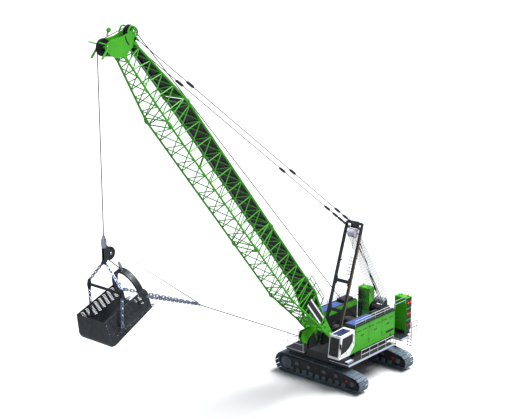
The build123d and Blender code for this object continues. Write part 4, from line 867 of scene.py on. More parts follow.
# ---------------------------------------------------------------- mast
class CraneMast(bpy.types.Operator):
    """Top beam, sheave guard, hose, ladder grid and brackets of the mast"""
    bl_idname = "crane.mast"
    bl_label = "Mast trim"

    def execute(self, context):
        length = mast_line.length
        cover = plate([(length - 0.05, 0.12), (length + 0.42, 0.12), (length + 0.5, 0.03),
                       (length + 0.42, -0.1),
                       (length + 0.3, -0.1), (length + 0.25, 0.05), (length - 0.05, 0.08)], -0.38, 0.38,
                      0.012)
        add_piece(cover, "mast_top_cover", "mast enamel", "mast", 30, MAST)
        gussets = []
        for side in (-1, 1):
            for along in (1.5, 3.68):
                gussets.append(block((along - 0.3, side * 0.5, -0.07), (along + 0.3, side * 0.605, 0.07),
                                     0.01))
                gussets.append(block((along - 0.13, side * 0.001, -0.08), (along + 0.13, side * 0.6, 0.08),
                                     0.015))
            gussets.append(block((0.5, side * 0.68 - 0.085, 0.095),
                                 (length - 0.1, side * 0.68 + 0.085, 0.107)))
            gussets.append(block((0.5, side * 0.68 - 0.085, -0.107),
                                 (length - 0.1, side * 0.68 + 0.085, -0.095)))
        add_piece(gussets, "mast_flanges", "mast enamel", "mast", 30, MAST)
        side = 0.68 + 0.1
        hose = [(0.3, side, -0.04), (0.9, side, -0.05), (2.4, side, -0.04), (4.2, side, -0.05),
                (6.0, side, -0.04),
                (7.0, side, -0.04), (7.3, side - 0.1, 0.02)]
        add_piece(tubes([hose], 0.035, 2, "NURBS"), "mast_hose", "hose sleeve", "mast", 60, MAST)
        clips = [block((x - 0.03, side - 0.045, -0.03), (x + 0.03, side + 0.045, 0.07), 0.01)
                 for x in (1.2, 2.4, 3.6, 4.8, 6.0)]
        add_piece(clips, "mast_hose_clips", "mast enamel", "mast", 30, MAST)
        bars = [[(x, 0.28, -0.1), (x, 0.6, -0.1)] for x in (4.25, 4.5, 4.75, 5.0, 5.25, 5.5)]
        bars += [[(4.2, y, -0.1), (5.55, y, -0.1)] for y in (0.28, 0.44, 0.6)]
        bars.append([(5.55, 0.4, -0.1), (7.1, 0.2, -0.12)])
        add_piece(tubes(bars, 0.017), "mast_grid", "rope wire", "mast", 60, MAST)
        lamp = turned([(0.0001, 0.1), (0.06, 0.09), (0.08, 0.02), (0.1, 0), (0.0001, 0)], 16)
        add_piece(lamp, "mast_limit_switch", "mast enamel", "mast", 30, MAST @ at(5.2, -0.57, 0))
        # pendant link plates, with the pins that close them
        pin, run = PIN["pendant_pivot"], mast_top - PIN["pendant_pivot"]
        lay = axes(pin, run, (-run.z, 0, run.x))
        links, pins = [], []
        for y in (-0.45, 0.45):
            for along in (5.3, 17.3, run.length - 3.3, run.length - 2.1, run.length - 1.3, run.length - 0.5):
                for way in (-1, 1):
                    links.append(plate([(along - 0.36, -0.04), (along - 0.28, -0.075), (along + 0.28, -0.075),
                                        (along + 0.36, -0.04), (along + 0.36, 0.04), (along + 0.28, 0.075),
                                        (along - 0.28, 0.075), (along - 0.36, 0.04)],
                                       y + way * 0.046 - 0.012, y + way * 0.046 + 0.012, 0.004))
                for x in (-0.25, 0.25):
                    pins.append([(along + x, y - 0.085, 0), (along + x, y + 0.085, 0)])
        add_piece(links, "pendant_links", "pendant paint", "pendants", 30, lay)
        add_piece(tubes(pins, 0.026, 2), "pendant_link_pins", "zinc plate", "pendants", 40, lay)
        return {"FINISHED"}


# ---------------------------------------------------------------- cab
CAB_IN, CAB_OUT = 1.36, 2.33


def cab_outline(inset):
    """Side outline of the cab, drawn in by a margin."""
    return [(2.03 + inset, 3.09), (2.03 + inset, 4.24 - inset), (3.7 - inset, 4.16 - inset),
            (3.93 - inset, 2.47 + inset), (2.59, 2.47 + inset)]


class CraneCabGlass(bpy.types.Operator):
    """Windscreen, side panes and roof pane of the cab, the windscreen in a dark rubber seal"""
    bl_idname = "crane.cab_glass"
    bl_label = "Cab glass"

    def execute(self, context):
        glass = context.scene.crane_sizes.glass
        side_pane = cab_outline(0.104)
        add_piece(plate(side_pane, CAB_IN + 0.026, CAB_IN + 0.026 + glass, 0.001), "cab_inner_pane",
                  "tinted glass", "superstructure", 30, MACHINE)
        door_pane = cab_outline(0.199)
        add_piece(plate(door_pane, CAB_OUT - 0.034, CAB_OUT - 0.034 + glass, 0.001), "cab_door_pane",
                  "tinted glass", "cab_door", 30, MACHINE)
        # windscreen lies along the raked front edge
        low, high = Vector((3.93, 0, 2.47)), Vector((3.7, 0, 4.16))
        rake = (high - low).normalized()
        lay_front = axes(machine(low.x, 0, low.z), rake, rake.cross(Vector((0, 1, 0))))
        y0, y1 = CAB_IN + 0.1, CAB_OUT - 0.1
        height = (high - low).length
        screen = block((0.19, y0, -0.045), (height - 0.17, y1, -0.045 + glass), 0.002)
        add_piece(screen, "cab_windscreen", "tinted glass", "superstructure", 30, lay_front)
        band = [block((0.03, y0 - 0.06, 0.002), (0.21, y1 + 0.03, 0.008), 0.002),
                block((0.2, y0 - 0.06, 0.002), (height - 0.05, y0 + 0.02, 0.008), 0.002),
                block((height - 0.2, y0 - 0.06, 0.002), (height - 0.05, y1 + 0.03, 0.008), 0.002)]
        add_piece(band, "cab_screen_band", "dark screen", "superstructure", 30, lay_front)
        seal = [[(0.19, y0, -0.03), (height - 0.17, y0, -0.03), (height - 0.17, y1, -0.03),
                 (0.19, y1, -0.03)]]
        add_piece(tubes(seal, 0.014, 1, closed=True), "cab_windscreen_seal", "hose rubber", "superstructure",
                  60,
                  lay_front)
        slope = (4.24 - 4.16) / (3.7 - 2.03)
        roof = [plate([(x0, 4.243 - slope * (x0 - 2.03)), (x1, 4.243 - slope * (x1 - 2.03)),
                       (x1, 4.25 - slope * (x1 - 2.03)), (x0, 4.25 - slope * (x0 - 2.03))], CAB_IN + 0.1,
                      CAB_OUT - 0.12, 0)
                for x0, x1 in ((2.3, 2.98), (3.0, 3.6))]
        add_piece(roof, "cab_roof_pane", "roof glass", "superstructure", 30, MACHINE)
        wiper = [[(0.25, 1.9, 0.012), (0.7, 1.72, 0.02), (1.2, 1.6, 0.012)]]
        arms = tubes(wiper, 0.011, 1)
        blade = block((0.62, 1.66, 0.0), (1.5, 1.68, 0.02), 0.004)
        add_piece(joined([arms, blade]), "cab_wiper", "chassis paint", "superstructure", 40, lay_front)
        return {"FINISHED"}


class CraneCabTrim(bpy.types.Operator):
    """Door handle, grab rail, mirrors, lamps, step and roof guard of the cab"""
    bl_idname = "crane.cab_trim"
    bl_label = "Cab trim"

    def execute(self, context):
        rails = [[(3.86, 2.39, 2.7), (3.9, 2.42, 2.75), (3.82, 2.42, 3.5), (3.78, 2.39, 3.55)],
                 [(2.5, 2.36, 2.55), (2.52, 2.41, 2.6), (2.52, 2.41, 3.25), (2.5, 2.36, 3.3)]]
        rails += [[(3.72, 1.5, 4.16), (3.9, 1.5, 4.3), (3.9, 2.2, 4.3), (3.72, 2.2, 4.16)]]
        add_piece(tubes(rails, 0.014, 1), "cab_grab_rails", "galvanised steel", "superstructure", 60, MACHINE)
        lamps, glasses = [], []
        for y in (1.55, 2.12):
            lamp = turned([(0.0001, -0.06), (0.06, -0.05), (0.085, 0), (0.085, 0.03), (0.0001, 0.03)], 20)
            lens = turned([(0.0001, 0.045), (0.05, 0.042), (0.078, 0.031), (0.0001, 0.031)], 20)
            place = at(3.9, y, 4.33) @ Matrix.Rotation(-pi / 2, 4, "Z")
            lamps.append(moved(lamp, place))
            glasses.append(moved(lens, place))
        add_piece(lamps, "cab_work_lamps", "chassis paint", "superstructure", 30, MACHINE)
        add_piece(glasses, "cab_work_lamp_lenses", "lamp lens", "superstructure", 30, MACHINE)
        mirror_arm = tubes([[(3.75, 2.33, 3.9), (3.98, 2.5, 3.95), (3.98, 2.5, 3.35)]], 0.012, 1)
        back = block((3.955, 2.42, 3.35), (3.975, 2.58, 3.75), 0.012)
        add_piece(joined([mirror_arm, back]), "cab_mirror", "chassis paint", "superstructure", 30, MACHINE)
        # lower panel of the door, its marker and the wedge behind the cab
        sill = [plate([(2.24, 3.1), (2.66, 2.67), (3.7, 2.67), (3.69, 2.78), (3.1, 2.86), (2.7, 3.05),
                       (2.24, 3.45)],
                      CAB_OUT + 0.001, CAB_OUT + 0.012, 0.003)]
        add_piece(sill, "cab_door_panel", "white enamel", "cab_door", 30, MACHINE)
        # the marker is a red reflector; its glow is painted light
        light = block((3.0, CAB_OUT + 0.012, 2.74), (3.12, CAB_OUT + 0.03, 2.82), 0.006)
        add_piece(light, "cab_door_marker", "red lens with painted glow", "cab_door", 30, MACHINE)
        wedge = plate([(2.02, 3.0), (2.02, 3.5), (1.86, 3.9), (1.86, 2.46), (2.5, 2.46)], 1.9, CAB_OUT - 0.02,
                      0.01)
        add_piece(wedge, "cab_rear_wedge", "green enamel", "superstructure", 30, MACHINE)
        handle = [plate([(3.62, 3.12), (3.76, 3.1), (3.76, 3.2), (3.62, 3.22)], CAB_OUT + 0.001,
                        CAB_OUT + 0.03, 0.008)]
        add_piece(handle, "cab_door_handle", "chassis paint", "cab_door", 30, MACHINE)
        step = [block((2.5, 2.34, 2.12), (3.2, 2.62, 2.15), 0.006),
                block((2.52, 2.6, 2.06), (3.18, 2.62, 2.2), 0.004)]
        add_piece(step, "cab_step", "deck edge", "superstructure", 30, MACHINE)
        return {"FINISHED"}


class CraneCabInside(bpy.types.Operator):
    """Seat, armrests, joysticks, screen and floor mat seen through the glass"""
    bl_idname = "crane.cab_inside"
    bl_label = "Cab inside"

    def execute(self, context):
        mid = (CAB_IN + CAB_OUT) / 2
        cushion = plate([(2.75, 2.97), (3.25, 2.99), (3.28, 3.06), (3.22, 3.12), (2.78, 3.09)], mid - 0.25,
                        mid + 0.25,
                        0.03)
        back = plate([(2.66, 3.06), (2.78, 3.1), (2.72, 3.72), (2.6, 3.7)], mid - 0.24, mid + 0.24, 0.035)
        rest = plate([(2.6, 3.74), (2.7, 3.76), (2.67, 3.93), (2.58, 3.9)], mid - 0.13, mid + 0.13, 0.03)
        seat = add_piece(joined([cushion, back, rest]), "operator_seat_pads", "seat cloth", "superstructure",
                         40, MACHINE)
        base = plate([(2.8, 2.54), (3.2, 2.54), (3.1, 2.72), (3.14, 2.95), (2.82, 2.95), (2.9, 2.72)],
                     mid - 0.18,
                     mid + 0.18, 0.015)
        add_piece(base, "operator_seat_base", "chassis paint", "superstructure", 40, MACHINE)
        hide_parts("operator_seat")
        arms = []
        for y in (mid - 0.33, mid + 0.33):
            arms.append(plate([(2.78, 3.16), (3.34, 3.2), (3.38, 3.27), (2.78, 3.24)], y - 0.055, y + 0.055,
                              0.012))
            arms.append(tubes([[(3.28, y, 3.24), (3.3, y, 3.38)]], 0.014, 1))
            knob = turned([(0.0001, 0.05), (0.026, 0.035), (0.03, 0), (0.02, -0.04), (0.0001, -0.05)], 12)
            arms.append(moved(knob, at(3.3, y, 3.41) @ Matrix.Rotation(pi / 2, 4, "X")))
        arms.append(block((3.6, mid + 0.2, 3.1), (3.64, mid + 0.42, 3.42), 0.01))
        arms.append(tubes([[(3.62, mid + 0.31, 2.54), (3.62, mid + 0.31, 3.12)]], 0.02, 1))
        add_piece(arms, "cab_controls", "chassis paint", "superstructure", 40, MACHINE)
        mat = block((2.6, CAB_IN + 0.07, 2.531), (3.8, CAB_OUT - 0.07, 2.537), 0.002)
        add_piece(mat, "cab_floor_mat", "hose rubber", "superstructure", 40, MACHINE)
        return {"FINISHED"}


# ---------------------------------------------------------------- houses
DOOR_LENGTH, DOOR_POST = 1.5767, 0.08
HOUSE_FRONT, HOUSE_REAR, HOUSE_IN, HOUSE_OUT, HOUSE_TOP = 1.85, -3.2, 1.21, 2.26, 4.42


def door_front(i):
    """Front edge of a house door, counted from the front."""
    return HOUSE_FRONT - DOOR_POST - i * (DOOR_LENGTH + DOOR_POST)


class CraneDoors(bpy.types.Operator):
    """Slits as dark bars of painted shade, with handles and stiffening folds, on the six house doors"""
    bl_idname = "crane.doors"
    bl_label = "House doors"

    def execute(self, context):
        for side, name in ((1, "left"), (-1, "right")):
            face = side * HOUSE_OUT
            for i in range(3):
                body = f"house_door_{name}_{i + 1}"
                front = door_front(i)
                middle = front - DOOR_LENGTH / 2
                # the slits are not cut: dark bars on the door face stand for them, and their darkness is
                # painted shade of the openings; the long bar on the third door is painted shade too
                slit = block((-0.26, 0, -0.03), (0.26, 0.01, 0.03), 0.003)
                places = [at(middle + x, face - 0.003 if side > 0 else face - 0.007,
                             3.94) for x in (-0.36, 0.42)]
                slits = repeated(slit, places)
                if i == 2:
                    y0, y1 = sorted((face, face + side * 0.008))
                    slits = joined([slits, block((front - DOOR_LENGTH + 0.03, y0, 2.8),
                                                 (front - 0.5, y1, 2.98), 0.003)])
                add_piece(slits, body + "_louvre_painted_shade", "chassis paint", body, 30,
                          MACHINE)
                low, high = (face, face + 0.006) if side > 0 else (face - 0.006, face)
                fold = [block((front - DOOR_LENGTH + 0.05, low, 2.82), (front - 0.05, high, 2.86), 0.003),
                        block((front - DOOR_LENGTH + 0.05, low, 4.2), (front - 0.05, high, 4.24), 0.003),
                        block((front - DOOR_LENGTH + 0.05, low, 2.82),
                              (front - DOOR_LENGTH + 0.09, high, 4.24), 0.003),
                        block((front - 0.09, low, 2.82), (front - 0.05, high, 4.24), 0.003)]
                add_piece(fold, body + "_folds", "green enamel", body, 30, MACHINE)
                knobs = []
                for x in (middle - 0.1, middle + 0.1):
                    knob = turned([(0.0001, 0.02), (0.05, 0.02), (0.06, 0.012), (0.065, 0), (0.0001, 0)], 14)
                    turn = facing(side)
                    knobs.append(moved(knob, at(x, face, 3.55) @ turn))
                add_piece(knobs, body + "_handles", "black iron", body, 30, MACHINE)
        return {"FINISHED"}


class CraneRoofs(bpy.types.Operator):
    """Anti-slip roof panels, black roof edges, intake grille and exhaust pipes of the houses"""
    bl_idname = "crane.roofs"
    bl_label = "House roofs"

    def execute(self, context):
        panels, covers = [], []
        top = HOUSE_TOP + 0.035
        for side, rear in ((1, -0.75), (-1, -1.5)):
            y0, y1 = across(side, HOUSE_IN + 0.02, HOUSE_OUT - 0.03)
            covers.append(block((HOUSE_REAR + 0.01, y0, top), (HOUSE_FRONT - 0.01, y1, top + 0.006), 0.002))
            panels.append(block((rear, y0 + 0.1, top + 0.006), (HOUSE_FRONT - 0.12, y1 - 0.12, top + 0.014),
                                0.004))
            y0, y1 = across(side, HOUSE_OUT + 0.028, HOUSE_OUT + 0.034)
            covers.append(block((HOUSE_REAR, y0, HOUSE_TOP - 0.09), (HOUSE_FRONT, y1, HOUSE_TOP + 0.04),
                                0.002))
            y0, y1 = across(side, HOUSE_IN - 0.008, HOUSE_IN)
            covers.append(block((HOUSE_REAR + 0.05, y0, 2.5), (HOUSE_FRONT - 0.05, y1, 4.02), 0.003))
        covers.append(block((HOUSE_FRONT, HOUSE_IN + 0.02, 4.0),
                            (HOUSE_FRONT + 0.008, HOUSE_OUT - 0.02, HOUSE_TOP + 0.03), 0.002))
        add_piece(panels, "roof_panels", "roof paint", "superstructure", 30, MACHINE)
        add_piece(covers, "roof_covers", "chassis paint", "superstructure", 30, MACHINE)
        slats = [block((HOUSE_FRONT, 1.36, 2.62 + 0.07 * i), (HOUSE_FRONT + 0.012, 2.12, 2.65 + 0.07 * i),
                       0.003)
                 for i in range(20)]
        add_piece(slats, "front_grille", "chassis paint", "superstructure", 30, MACHINE)
        boxes = [block((x0, y0, top + 0.006), (x1, y1, z1), 0.03) for x0, x1, y0, y1, z1 in
                 ((-2.9, -1.95, 1.4, 2.0, 4.72), (-1.75, -0.95, 1.45, 2.05, 4.62),
                  (-2.9, -1.7, -2.1, -1.4, 4.68))]
        for i in range(8):
            boxes.append(block((-2.85 + 0.11 * i, 1.42, 4.72), (-2.8 + 0.11 * i, 1.98, 4.75), 0.005))
        add_piece(boxes, "roof_boxes", "frame casting", "superstructure", 30, MACHINE)
        pipes = [[(-2.3, -1.55, 4.42), (-2.3, -1.55, 4.8), (-2.42, -1.55, 4.86)],
                 [(-2.8, -1.9, 4.42), (-2.8, -1.9, 4.72), (-2.92, -1.9, 4.8)]]
        add_piece(tubes(pipes, 0.07, 3), "exhaust_pipes", "black iron", "superstructure", 50, MACHINE)
        return {"FINISHED"}


# ---------------------------------------------------------------- counterweight
TOWER_FRONT, TOWER_REAR, TOWER_IN, TOWER_OUT, TOWER_BASE, SLAB = -4.76, -5.44, 1.18, 2.27, 2.2, 0.89


class CraneCounterweight(bpy.types.Operator):
    """Outer plates, reflectors, beacons, tie rods, cooler and pipes of the counterweight towers"""
    bl_idname = "crane.counterweight"
    bl_label = "Counterweight trim"

    def execute(self, context):
        plates, reds, rims, rods, ambers, bases = [], [], [], [], [], []
        middle = (TOWER_FRONT + TOWER_REAR) / 2
        for side in (-1, 1):
            turn = facing(side)
            y0, y1 = across(side, TOWER_OUT, TOWER_OUT + 0.03)
            for i in range(3):
                low = TOWER_BASE + i * SLAB
                plates.append(block((TOWER_REAR + 0.005, y0, low + 0.05),
                                    (TOWER_FRONT - 0.03, y1, low + SLAB - 0.05), 0.02))
                for x in (middle - 0.16, middle + 0.16):
                    lens = turned([(0.0001, 0.045), (0.09, 0.042), (0.1, 0.034), (0.1, 0.024),
                                   (0.0001, 0.024)], 20)
                    rim = turned([(0.098, 0.024), (0.098, 0.04), (0.11, 0.038), (0.118, 0.024)], 20)
                    place = at(x, side * TOWER_OUT, low + 0.47) @ turn
                    reds.append(moved(lens, place))
                    rims.append(moved(rim, place))
            y = side * (TOWER_OUT + TOWER_IN) / 2
            for x in (TOWER_REAR + 0.08, TOWER_FRONT - 0.08):
                rods.append([(x, y + side * 0.3, TOWER_BASE + 3 * SLAB),
                             (x, y + side * 0.3, TOWER_BASE + 3 * SLAB + 0.07)])
            top = TOWER_BASE + 3 * SLAB
            base = turned([(0.0001, 0), (0.075, 0), (0.075, 0.05), (0.06, 0.06), (0.0001, 0.06)], 20)
            glow = turned([(0.0001, 0.06), (0.058, 0.06), (0.055, 0.16), (0.035, 0.19), (0.0001, 0.195)], 20)
            stand = at(TOWER_REAR + 0.22, side * 2.1, top) @ Matrix.Rotation(pi / 2, 4, "X")
            bases.append(moved(base, stand))
            ambers.append(moved(glow, stand))
        add_piece(plates, "tower_plates", "chassis paint", "superstructure", 30, MACHINE)
        # the red reflectors' glow is painted light
        add_piece(reds, "tower_reflectors", "red lens with painted glow", "superstructure", 30, MACHINE)
        add_piece(rims, "tower_reflector_rims", "black iron", "superstructure", 30, MACHINE)
        add_piece(tubes(rods, 0.035, 2), "tower_tie_rods", "zinc plate", "superstructure", 40, MACHINE)
        add_piece(bases, "beacon_bases", "chassis paint", "superstructure", 40, MACHINE)
        add_piece(ambers, "beacon_lenses", "amber lens", "superstructure", 40, MACHINE)
        clutter = [block((TOWER_FRONT, -2.2, 3.9), (TOWER_FRONT + 0.1, -1.95, 4.6), 0.02),
                   block((TOWER_FRONT, -2.25, 2.4), (TOWER_FRONT + 0.08, -1.9, 3.6), 0.02)]
        add_piece(clutter, "tower_cooler", "chassis paint", "superstructure", 30, MACHINE)
        x = TOWER_FRONT + 0.13
        pipes = [[(x, y, 3.0), (x, y, 4.75)] for y in (-2.1, -1.9, -1.7)]
        pipes += [[(x, -2.3, z), (x, -1.4, z)] for z in (3.6, 4.2)]
        add_piece(tubes(pipes, 0.03, 1), "tower_pipes", "mast enamel", "superstructure", 50, MACHINE)
        return {"FINISHED"}


# ---------------------------------------------------------------- decks
DECK_TOP, DECK_LOW, DECK_OUT, DECK_FRONT, DECK_REAR = 2.05, 1.96, 2.88, 3.45, -2.3


class CraneDecks(bpy.types.Operator):
    """Gratings, edge plates and toe boards of the decks"""
    bl_idname = "crane.decks"
    bl_label = "Decks"

    def execute(self, context):
        mats, edges = [], []
        for side in (-1, 1):
            y0, y1 = across(side, HOUSE_OUT + 0.06, DECK_OUT - 0.03)
            mats.append(block((DECK_REAR + 0.02, y0, DECK_TOP + 0.0005),
                              (DECK_FRONT - 0.03, y1, DECK_TOP + 0.006), 0.002))
            y0, y1 = across(side, DECK_OUT, DECK_OUT + 0.008)
            edges.append(block((DECK_REAR, y0, DECK_LOW - 0.02), (DECK_FRONT, y1, DECK_TOP + 0.05), 0.003))
            y0, y1 = across(side, 1.15, DECK_OUT)
            edges.append(block((DECK_FRONT, y0, DECK_TOP - 0.03), (DECK_FRONT + 0.008, y1, DECK_TOP + 0.02),
                               0.003))
        add_piece(mats, "deck_gratings", "deck grating", "superstructure", 30, MACHINE)
        add_piece(edges, "deck_edges", "deck edge", "superstructure", 30, MACHINE)
        rear = [block((-4.6, 1.2, 2.0), (-3.3, 2.86, 2.03), 0.004)]
        lips = [block((-4.6, 2.85, 1.93), (-3.3, 2.862, 2.12), 0.003),
                block((-3.306, 1.2, 1.95), (-3.294, 2.86, 2.1), 0.003)]
        add_piece(rear, "rear_platform", "deck grating", "superstructure", 30, MACHINE)
        add_piece(lips, "rear_platform_edges", "deck edge", "superstructure", 30, MACHINE)
        return {"FINISHED"}


class CraneRearLadder(bpy.types.Operator):
    """Access ladder at the rear corner and rail loops on the roofs"""
    bl_idname = "crane.rear_ladder"
    bl_label = "Rear ladder"

    def execute(self, context):
        runs = [[(-4.66, y, 1.12), (-4.66, y, 2.5), (-4.66, y, 3.1)] for y in (2.5, 2.86)]
        runs += [[(-4.66, 2.5, z), (-4.66, 2.86, z)] for z in (1.2, 1.46, 1.72, 1.98, 2.24)]
        runs.append([(-4.66, 2.86, 3.1), (-5.41, 2.86, 3.1), (-5.41, 2.86, 2.2)])
        runs.append([(-4.66, 2.86, 2.65), (-5.41, 2.86, 2.65)])
        add_piece(tubes(runs, 0.028, 1), "corner_ladder", "roller steel",
                  "superstructure", 50, MACHINE)
        loops = []
        for y in (2.2, -2.2):
            loops.append([(-4.7, y, 4.42), (-4.7, y, 5.0), (-3.3, y, 5.0), (-3.3, y, 4.42)])
            loops.append([(-4.7, y, 4.72), (-3.3, y, 4.72)])
        for x in (-3.3, -2.2, -1.1, 0.0):
            loops.append([(x, -2.2, 4.42), (x, -2.2, 4.98)])
        loops += [[(-3.3, -2.2, z), (0.0, -2.2, z)] for z in (4.7, 4.98)]
        add_piece(tubes(loops, 0.02, 1), "roof_loops", "galvanised steel", "superstructure", 50, MACHINE)
        return {"FINISHED"}


# ---------------------------------------------------------------- boom foot
class CraneFootTrim(bpy.types.Operator):
    """Handrail, ladder, rail and bare framed board at the boom's foot"""
    bl_idname = "crane.foot_trim"
    bl_label = "Boom foot trim"

    def execute(self, context):
        top = HALF_D + 0.11
        rails = [[(2.0, -HALF_W, 0.45), (2.0, -HALF_W, 0.9), (4.7, -HALF_W, top + 0.5),
                  (6.2, -HALF_W, top + 0.5)],
                 [(3.3, -HALF_W, 0.62), (3.3, -HALF_W, 1.2)],
                 [(4.7, -HALF_W, top - 0.1), (4.7, -HALF_W, top + 0.5)]]
        add_piece(tubes(rails, 0.021, 1), "foot_handrail", "galvanised steel", "boom", 60, BOOM)
        sides = [[(1.9, y, 0.42), (4.6, y, top)] for y in (-0.45, -0.05)]
        rungs = [[(1.9 + 0.3 * i, -0.45, 0.42 + (top - 0.42) * i / 9),
                  (1.9 + 0.3 * i, -0.05, 0.42 + (top - 0.42) * i / 9)]
                 for i in range(10)]
        add_piece(tubes(sides + rungs, 0.018, 1), "foot_ladder", "galvanised steel", "boom", 60, BOOM)
        # short rail along the top chord beside the foot
        high = HALF_D + 0.5
        rails = [[(5.7, HALF_W, HALF_D), (5.7, HALF_W, high), (3.3, HALF_W, high - 0.1), (3.1, HALF_W, 0.5)]]
        rails += [[(5.7, HALF_W, high - 0.25), (3.2, HALF_W, high - 0.32)]]
        rails += [[(x, HALF_W, 0.6), (x, HALF_W, high - 0.05)] for x in (4.1, 4.9)]
        add_piece(tubes(rails, 0.032, 1), "foot_rail", "mast enamel", "boom", 50, BOOM)
        board = block((2.2, HALF_W + 0.07, -0.27), (4.5, HALF_W + 0.08, 0.33), 0.004)
        add_piece(board, "foot_board", "chassis paint", "boom", 30, BOOM)
        frame_bars = [block((2.2, HALF_W + 0.08, z - 0.06), (4.5, HALF_W + 0.086, z + 0.06),
                            0.002) for z in (-0.21, 0.27)]
        add_piece(frame_bars, "foot_board_frame", "white enamel", "boom", 30, BOOM)
        return {"FINISHED"}


# ---------------------------------------------------------------- crawler tracks
WHEELS = ((-3.135, 0.8, 0.8), (2.15, 1.14, 0.3), (3.315, 0.62, 0.62))
SHOE, SHOE_COUNT, SHOE_GAP, TRACK_X, TRACK_WIDTH = 0.07, 52, 0.036, 2.925, 1.1


def belt_runs():
    """Arcs and straight runs under the shoes: each y, z, radius, angle in, arc length, start, end."""
    angles = []
    wheels = [(y, z, r - SHOE) for y, z, r in WHEELS]
    for (y0, z0, r0), (y1, z1, r1) in zip(wheels, wheels[1:] + wheels[:1]):
        gap = ((y1 - y0) ** 2 + (z1 - z0) ** 2) ** 0.5
        share = (r0 - r1) / gap
        angles.append(atan2(z1 - z0, y1 - y0) + atan2((1 - share * share) ** 0.5, share))
    runs = []
    for i, (y, z, r) in enumerate(wheels):
        into, out = angles[i - 1], angles[i]
        if into < out:
            into += 2 * pi
        y1, z1, r1 = wheels[(i + 1) % 3]
        start = Vector((0, y + r * cos(out), z + r * sin(out)))
        end = Vector((0, y1 + r1 * cos(out), z1 + r1 * sin(out)))
        runs.append((y, z, r, into, r * (into - out), start, end))
    return runs


def on_belt(runs, distance):
    """A place at a distance along the chain."""
    total = sum(run[4] + (run[6] - run[5]).length for run in runs)
    distance %= total
    for y, z, r, into, arc, start, end in runs:
        if distance <= arc:
            a = into - distance / r
            return Vector((0, y + r * cos(a), z + r * sin(a)))
        distance -= arc
        line = (end - start).length
        if distance <= line:
            return start.lerp(end, distance / line)
        distance -= line
    return runs[0][5]


class CraneTracks(bpy.types.Operator):
    """Track shoes with grousers, hubs and reflectors"""
    bl_idname = "crane.tracks"
    bl_label = "Crawler tracks"

    def execute(self, context):
        grouser = context.scene.crane_sizes.grouser
        runs = belt_runs()
        total = sum(run[4] + (run[6] - run[5]).length for run in runs)
        pitch = total / SHOE_COUNT
        length = pitch - SHOE_GAP
        for side, name in ((1, "near"), (-1, "far")):
            half = TRACK_WIDTH / 2
            base = SHOE - grouser
            parts = [block((-half, -length / 2, 0), (half, length / 2, base), 0.008)]
            for share in (-0.36, 0.0, 0.36):
                parts.append(block((-half + 0.015, share * length - 0.016, base - 0.01),
                                   (half - 0.015, share * length + 0.016, SHOE), 0.005))
            for x in (-0.17, 0.17):
                parts.append(block((x - 0.04, -pitch / 2, -0.075), (x + 0.04, pitch / 2, 0), 0.006))
                parts.append(block((x - 0.07, -0.05, -0.03), (x + 0.07, 0.05, 0.0), 0.004))
            shoe = joined(parts)
            places = []
            for i in range(SHOE_COUNT):
                a, b = (on_belt(runs, i * pitch + way * length / 2) for way in (-1, 1))
                run = b - a
                turn = Matrix.Rotation(atan2(run.z, run.y), 4,
                                       "X") @ Matrix.Diagonal((1, run.length / length, 1, 1))
                places.append(Matrix.Translation((a + b) / 2) @ turn)
            piece = repeated(shoe, places)
            add_piece(piece, f"track_shoes_{name}", "track steel", "undercarriage", 30,
                      Matrix.Translation(machine(side * TRACK_X, 0, 0)))
            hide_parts(f"track_{name}")
        # rollers, hubs and cover plates on the track frames' outer faces
        for side, name in ((1, "near"), (-1, "far")):
            for way in (-1, 1):
                roller = turned([(0.03, 0.1), (0.07, 0.1), (0.08, 0.05), (0.16, 0.05), (0.19, 0.02),
                                 (0.19, -0.02), (0.03, -0.02)], 20)
                sprocket = turned([(0.04, 0.16), (0.16, 0.16), (0.18, 0.1), (0.3, 0.1), (0.32, 0.05),
                                   (0.44, 0.05), (0.48, 0.0),
                                   (0.04, 0.0)], 28)
                cover = block((-0.16, 0.0, -0.12), (0.16, 0.03, 0.12), 0.01)
                bolt = turned([(0.0001, 0.14), (0.022, 0.14), (0.026, 0.1), (0.0001, 0.1)], 8)
                turn = Matrix.Rotation(-way * pi / 2, 4, "Z")
                face = side * TRACK_X + way * 0.3
                hubs = [repeated(roller, [at(face, y, 0.36) @ turn for y in
                                          (-2.5, -1.9, -1.3, -0.7, -0.1, 0.5, 1.1, 1.7, 2.3)]
                                 + [at(face, 3.05, 0.62) @ turn]),
                        moved(sprocket, at(face, -3.0, 0.74) @ turn),
                        repeated(cover, [at(face, y, 0.88) @ turn for y in (-2.0, -0.9, 0.5, 1.6)]),
                        repeated(bolt, [at(face, -3.0 + 0.24 * cos(a * pi / 5),
                                           0.74 + 0.24 * sin(a * pi / 5)) @ turn
                                        for a in range(10)])]
                add_piece(hubs, f"track_hubs_{name}_{'outer' if way == side else 'inner'}", "roller steel",
                          "undercarriage", 30, MACHINE)
        # reflectors at the idler ends, whose glow is painted light
        marks = [block((x, 2.5, 0.7), (x + 0.03, 2.62, 0.76), 0.004) for x in (3.26, -2.66)]
        add_piece(marks, "track_reflectors", "red lens with painted glow", "undercarriage", 30,
                  MACHINE)
        return {"FINISHED"}


# ---------------------------------------------------------------- bucket and its hanging gear
# how far the heel is drawn down and back, and the lengths over which that fades out
HEEL_DROP, HEEL_BACK, DROP_LENGTH, BACK_LENGTH, DROP_HEIGHT, BACK_TOP = 0.4, 0.28, 3.4, 0.55, 0.56, 1.45


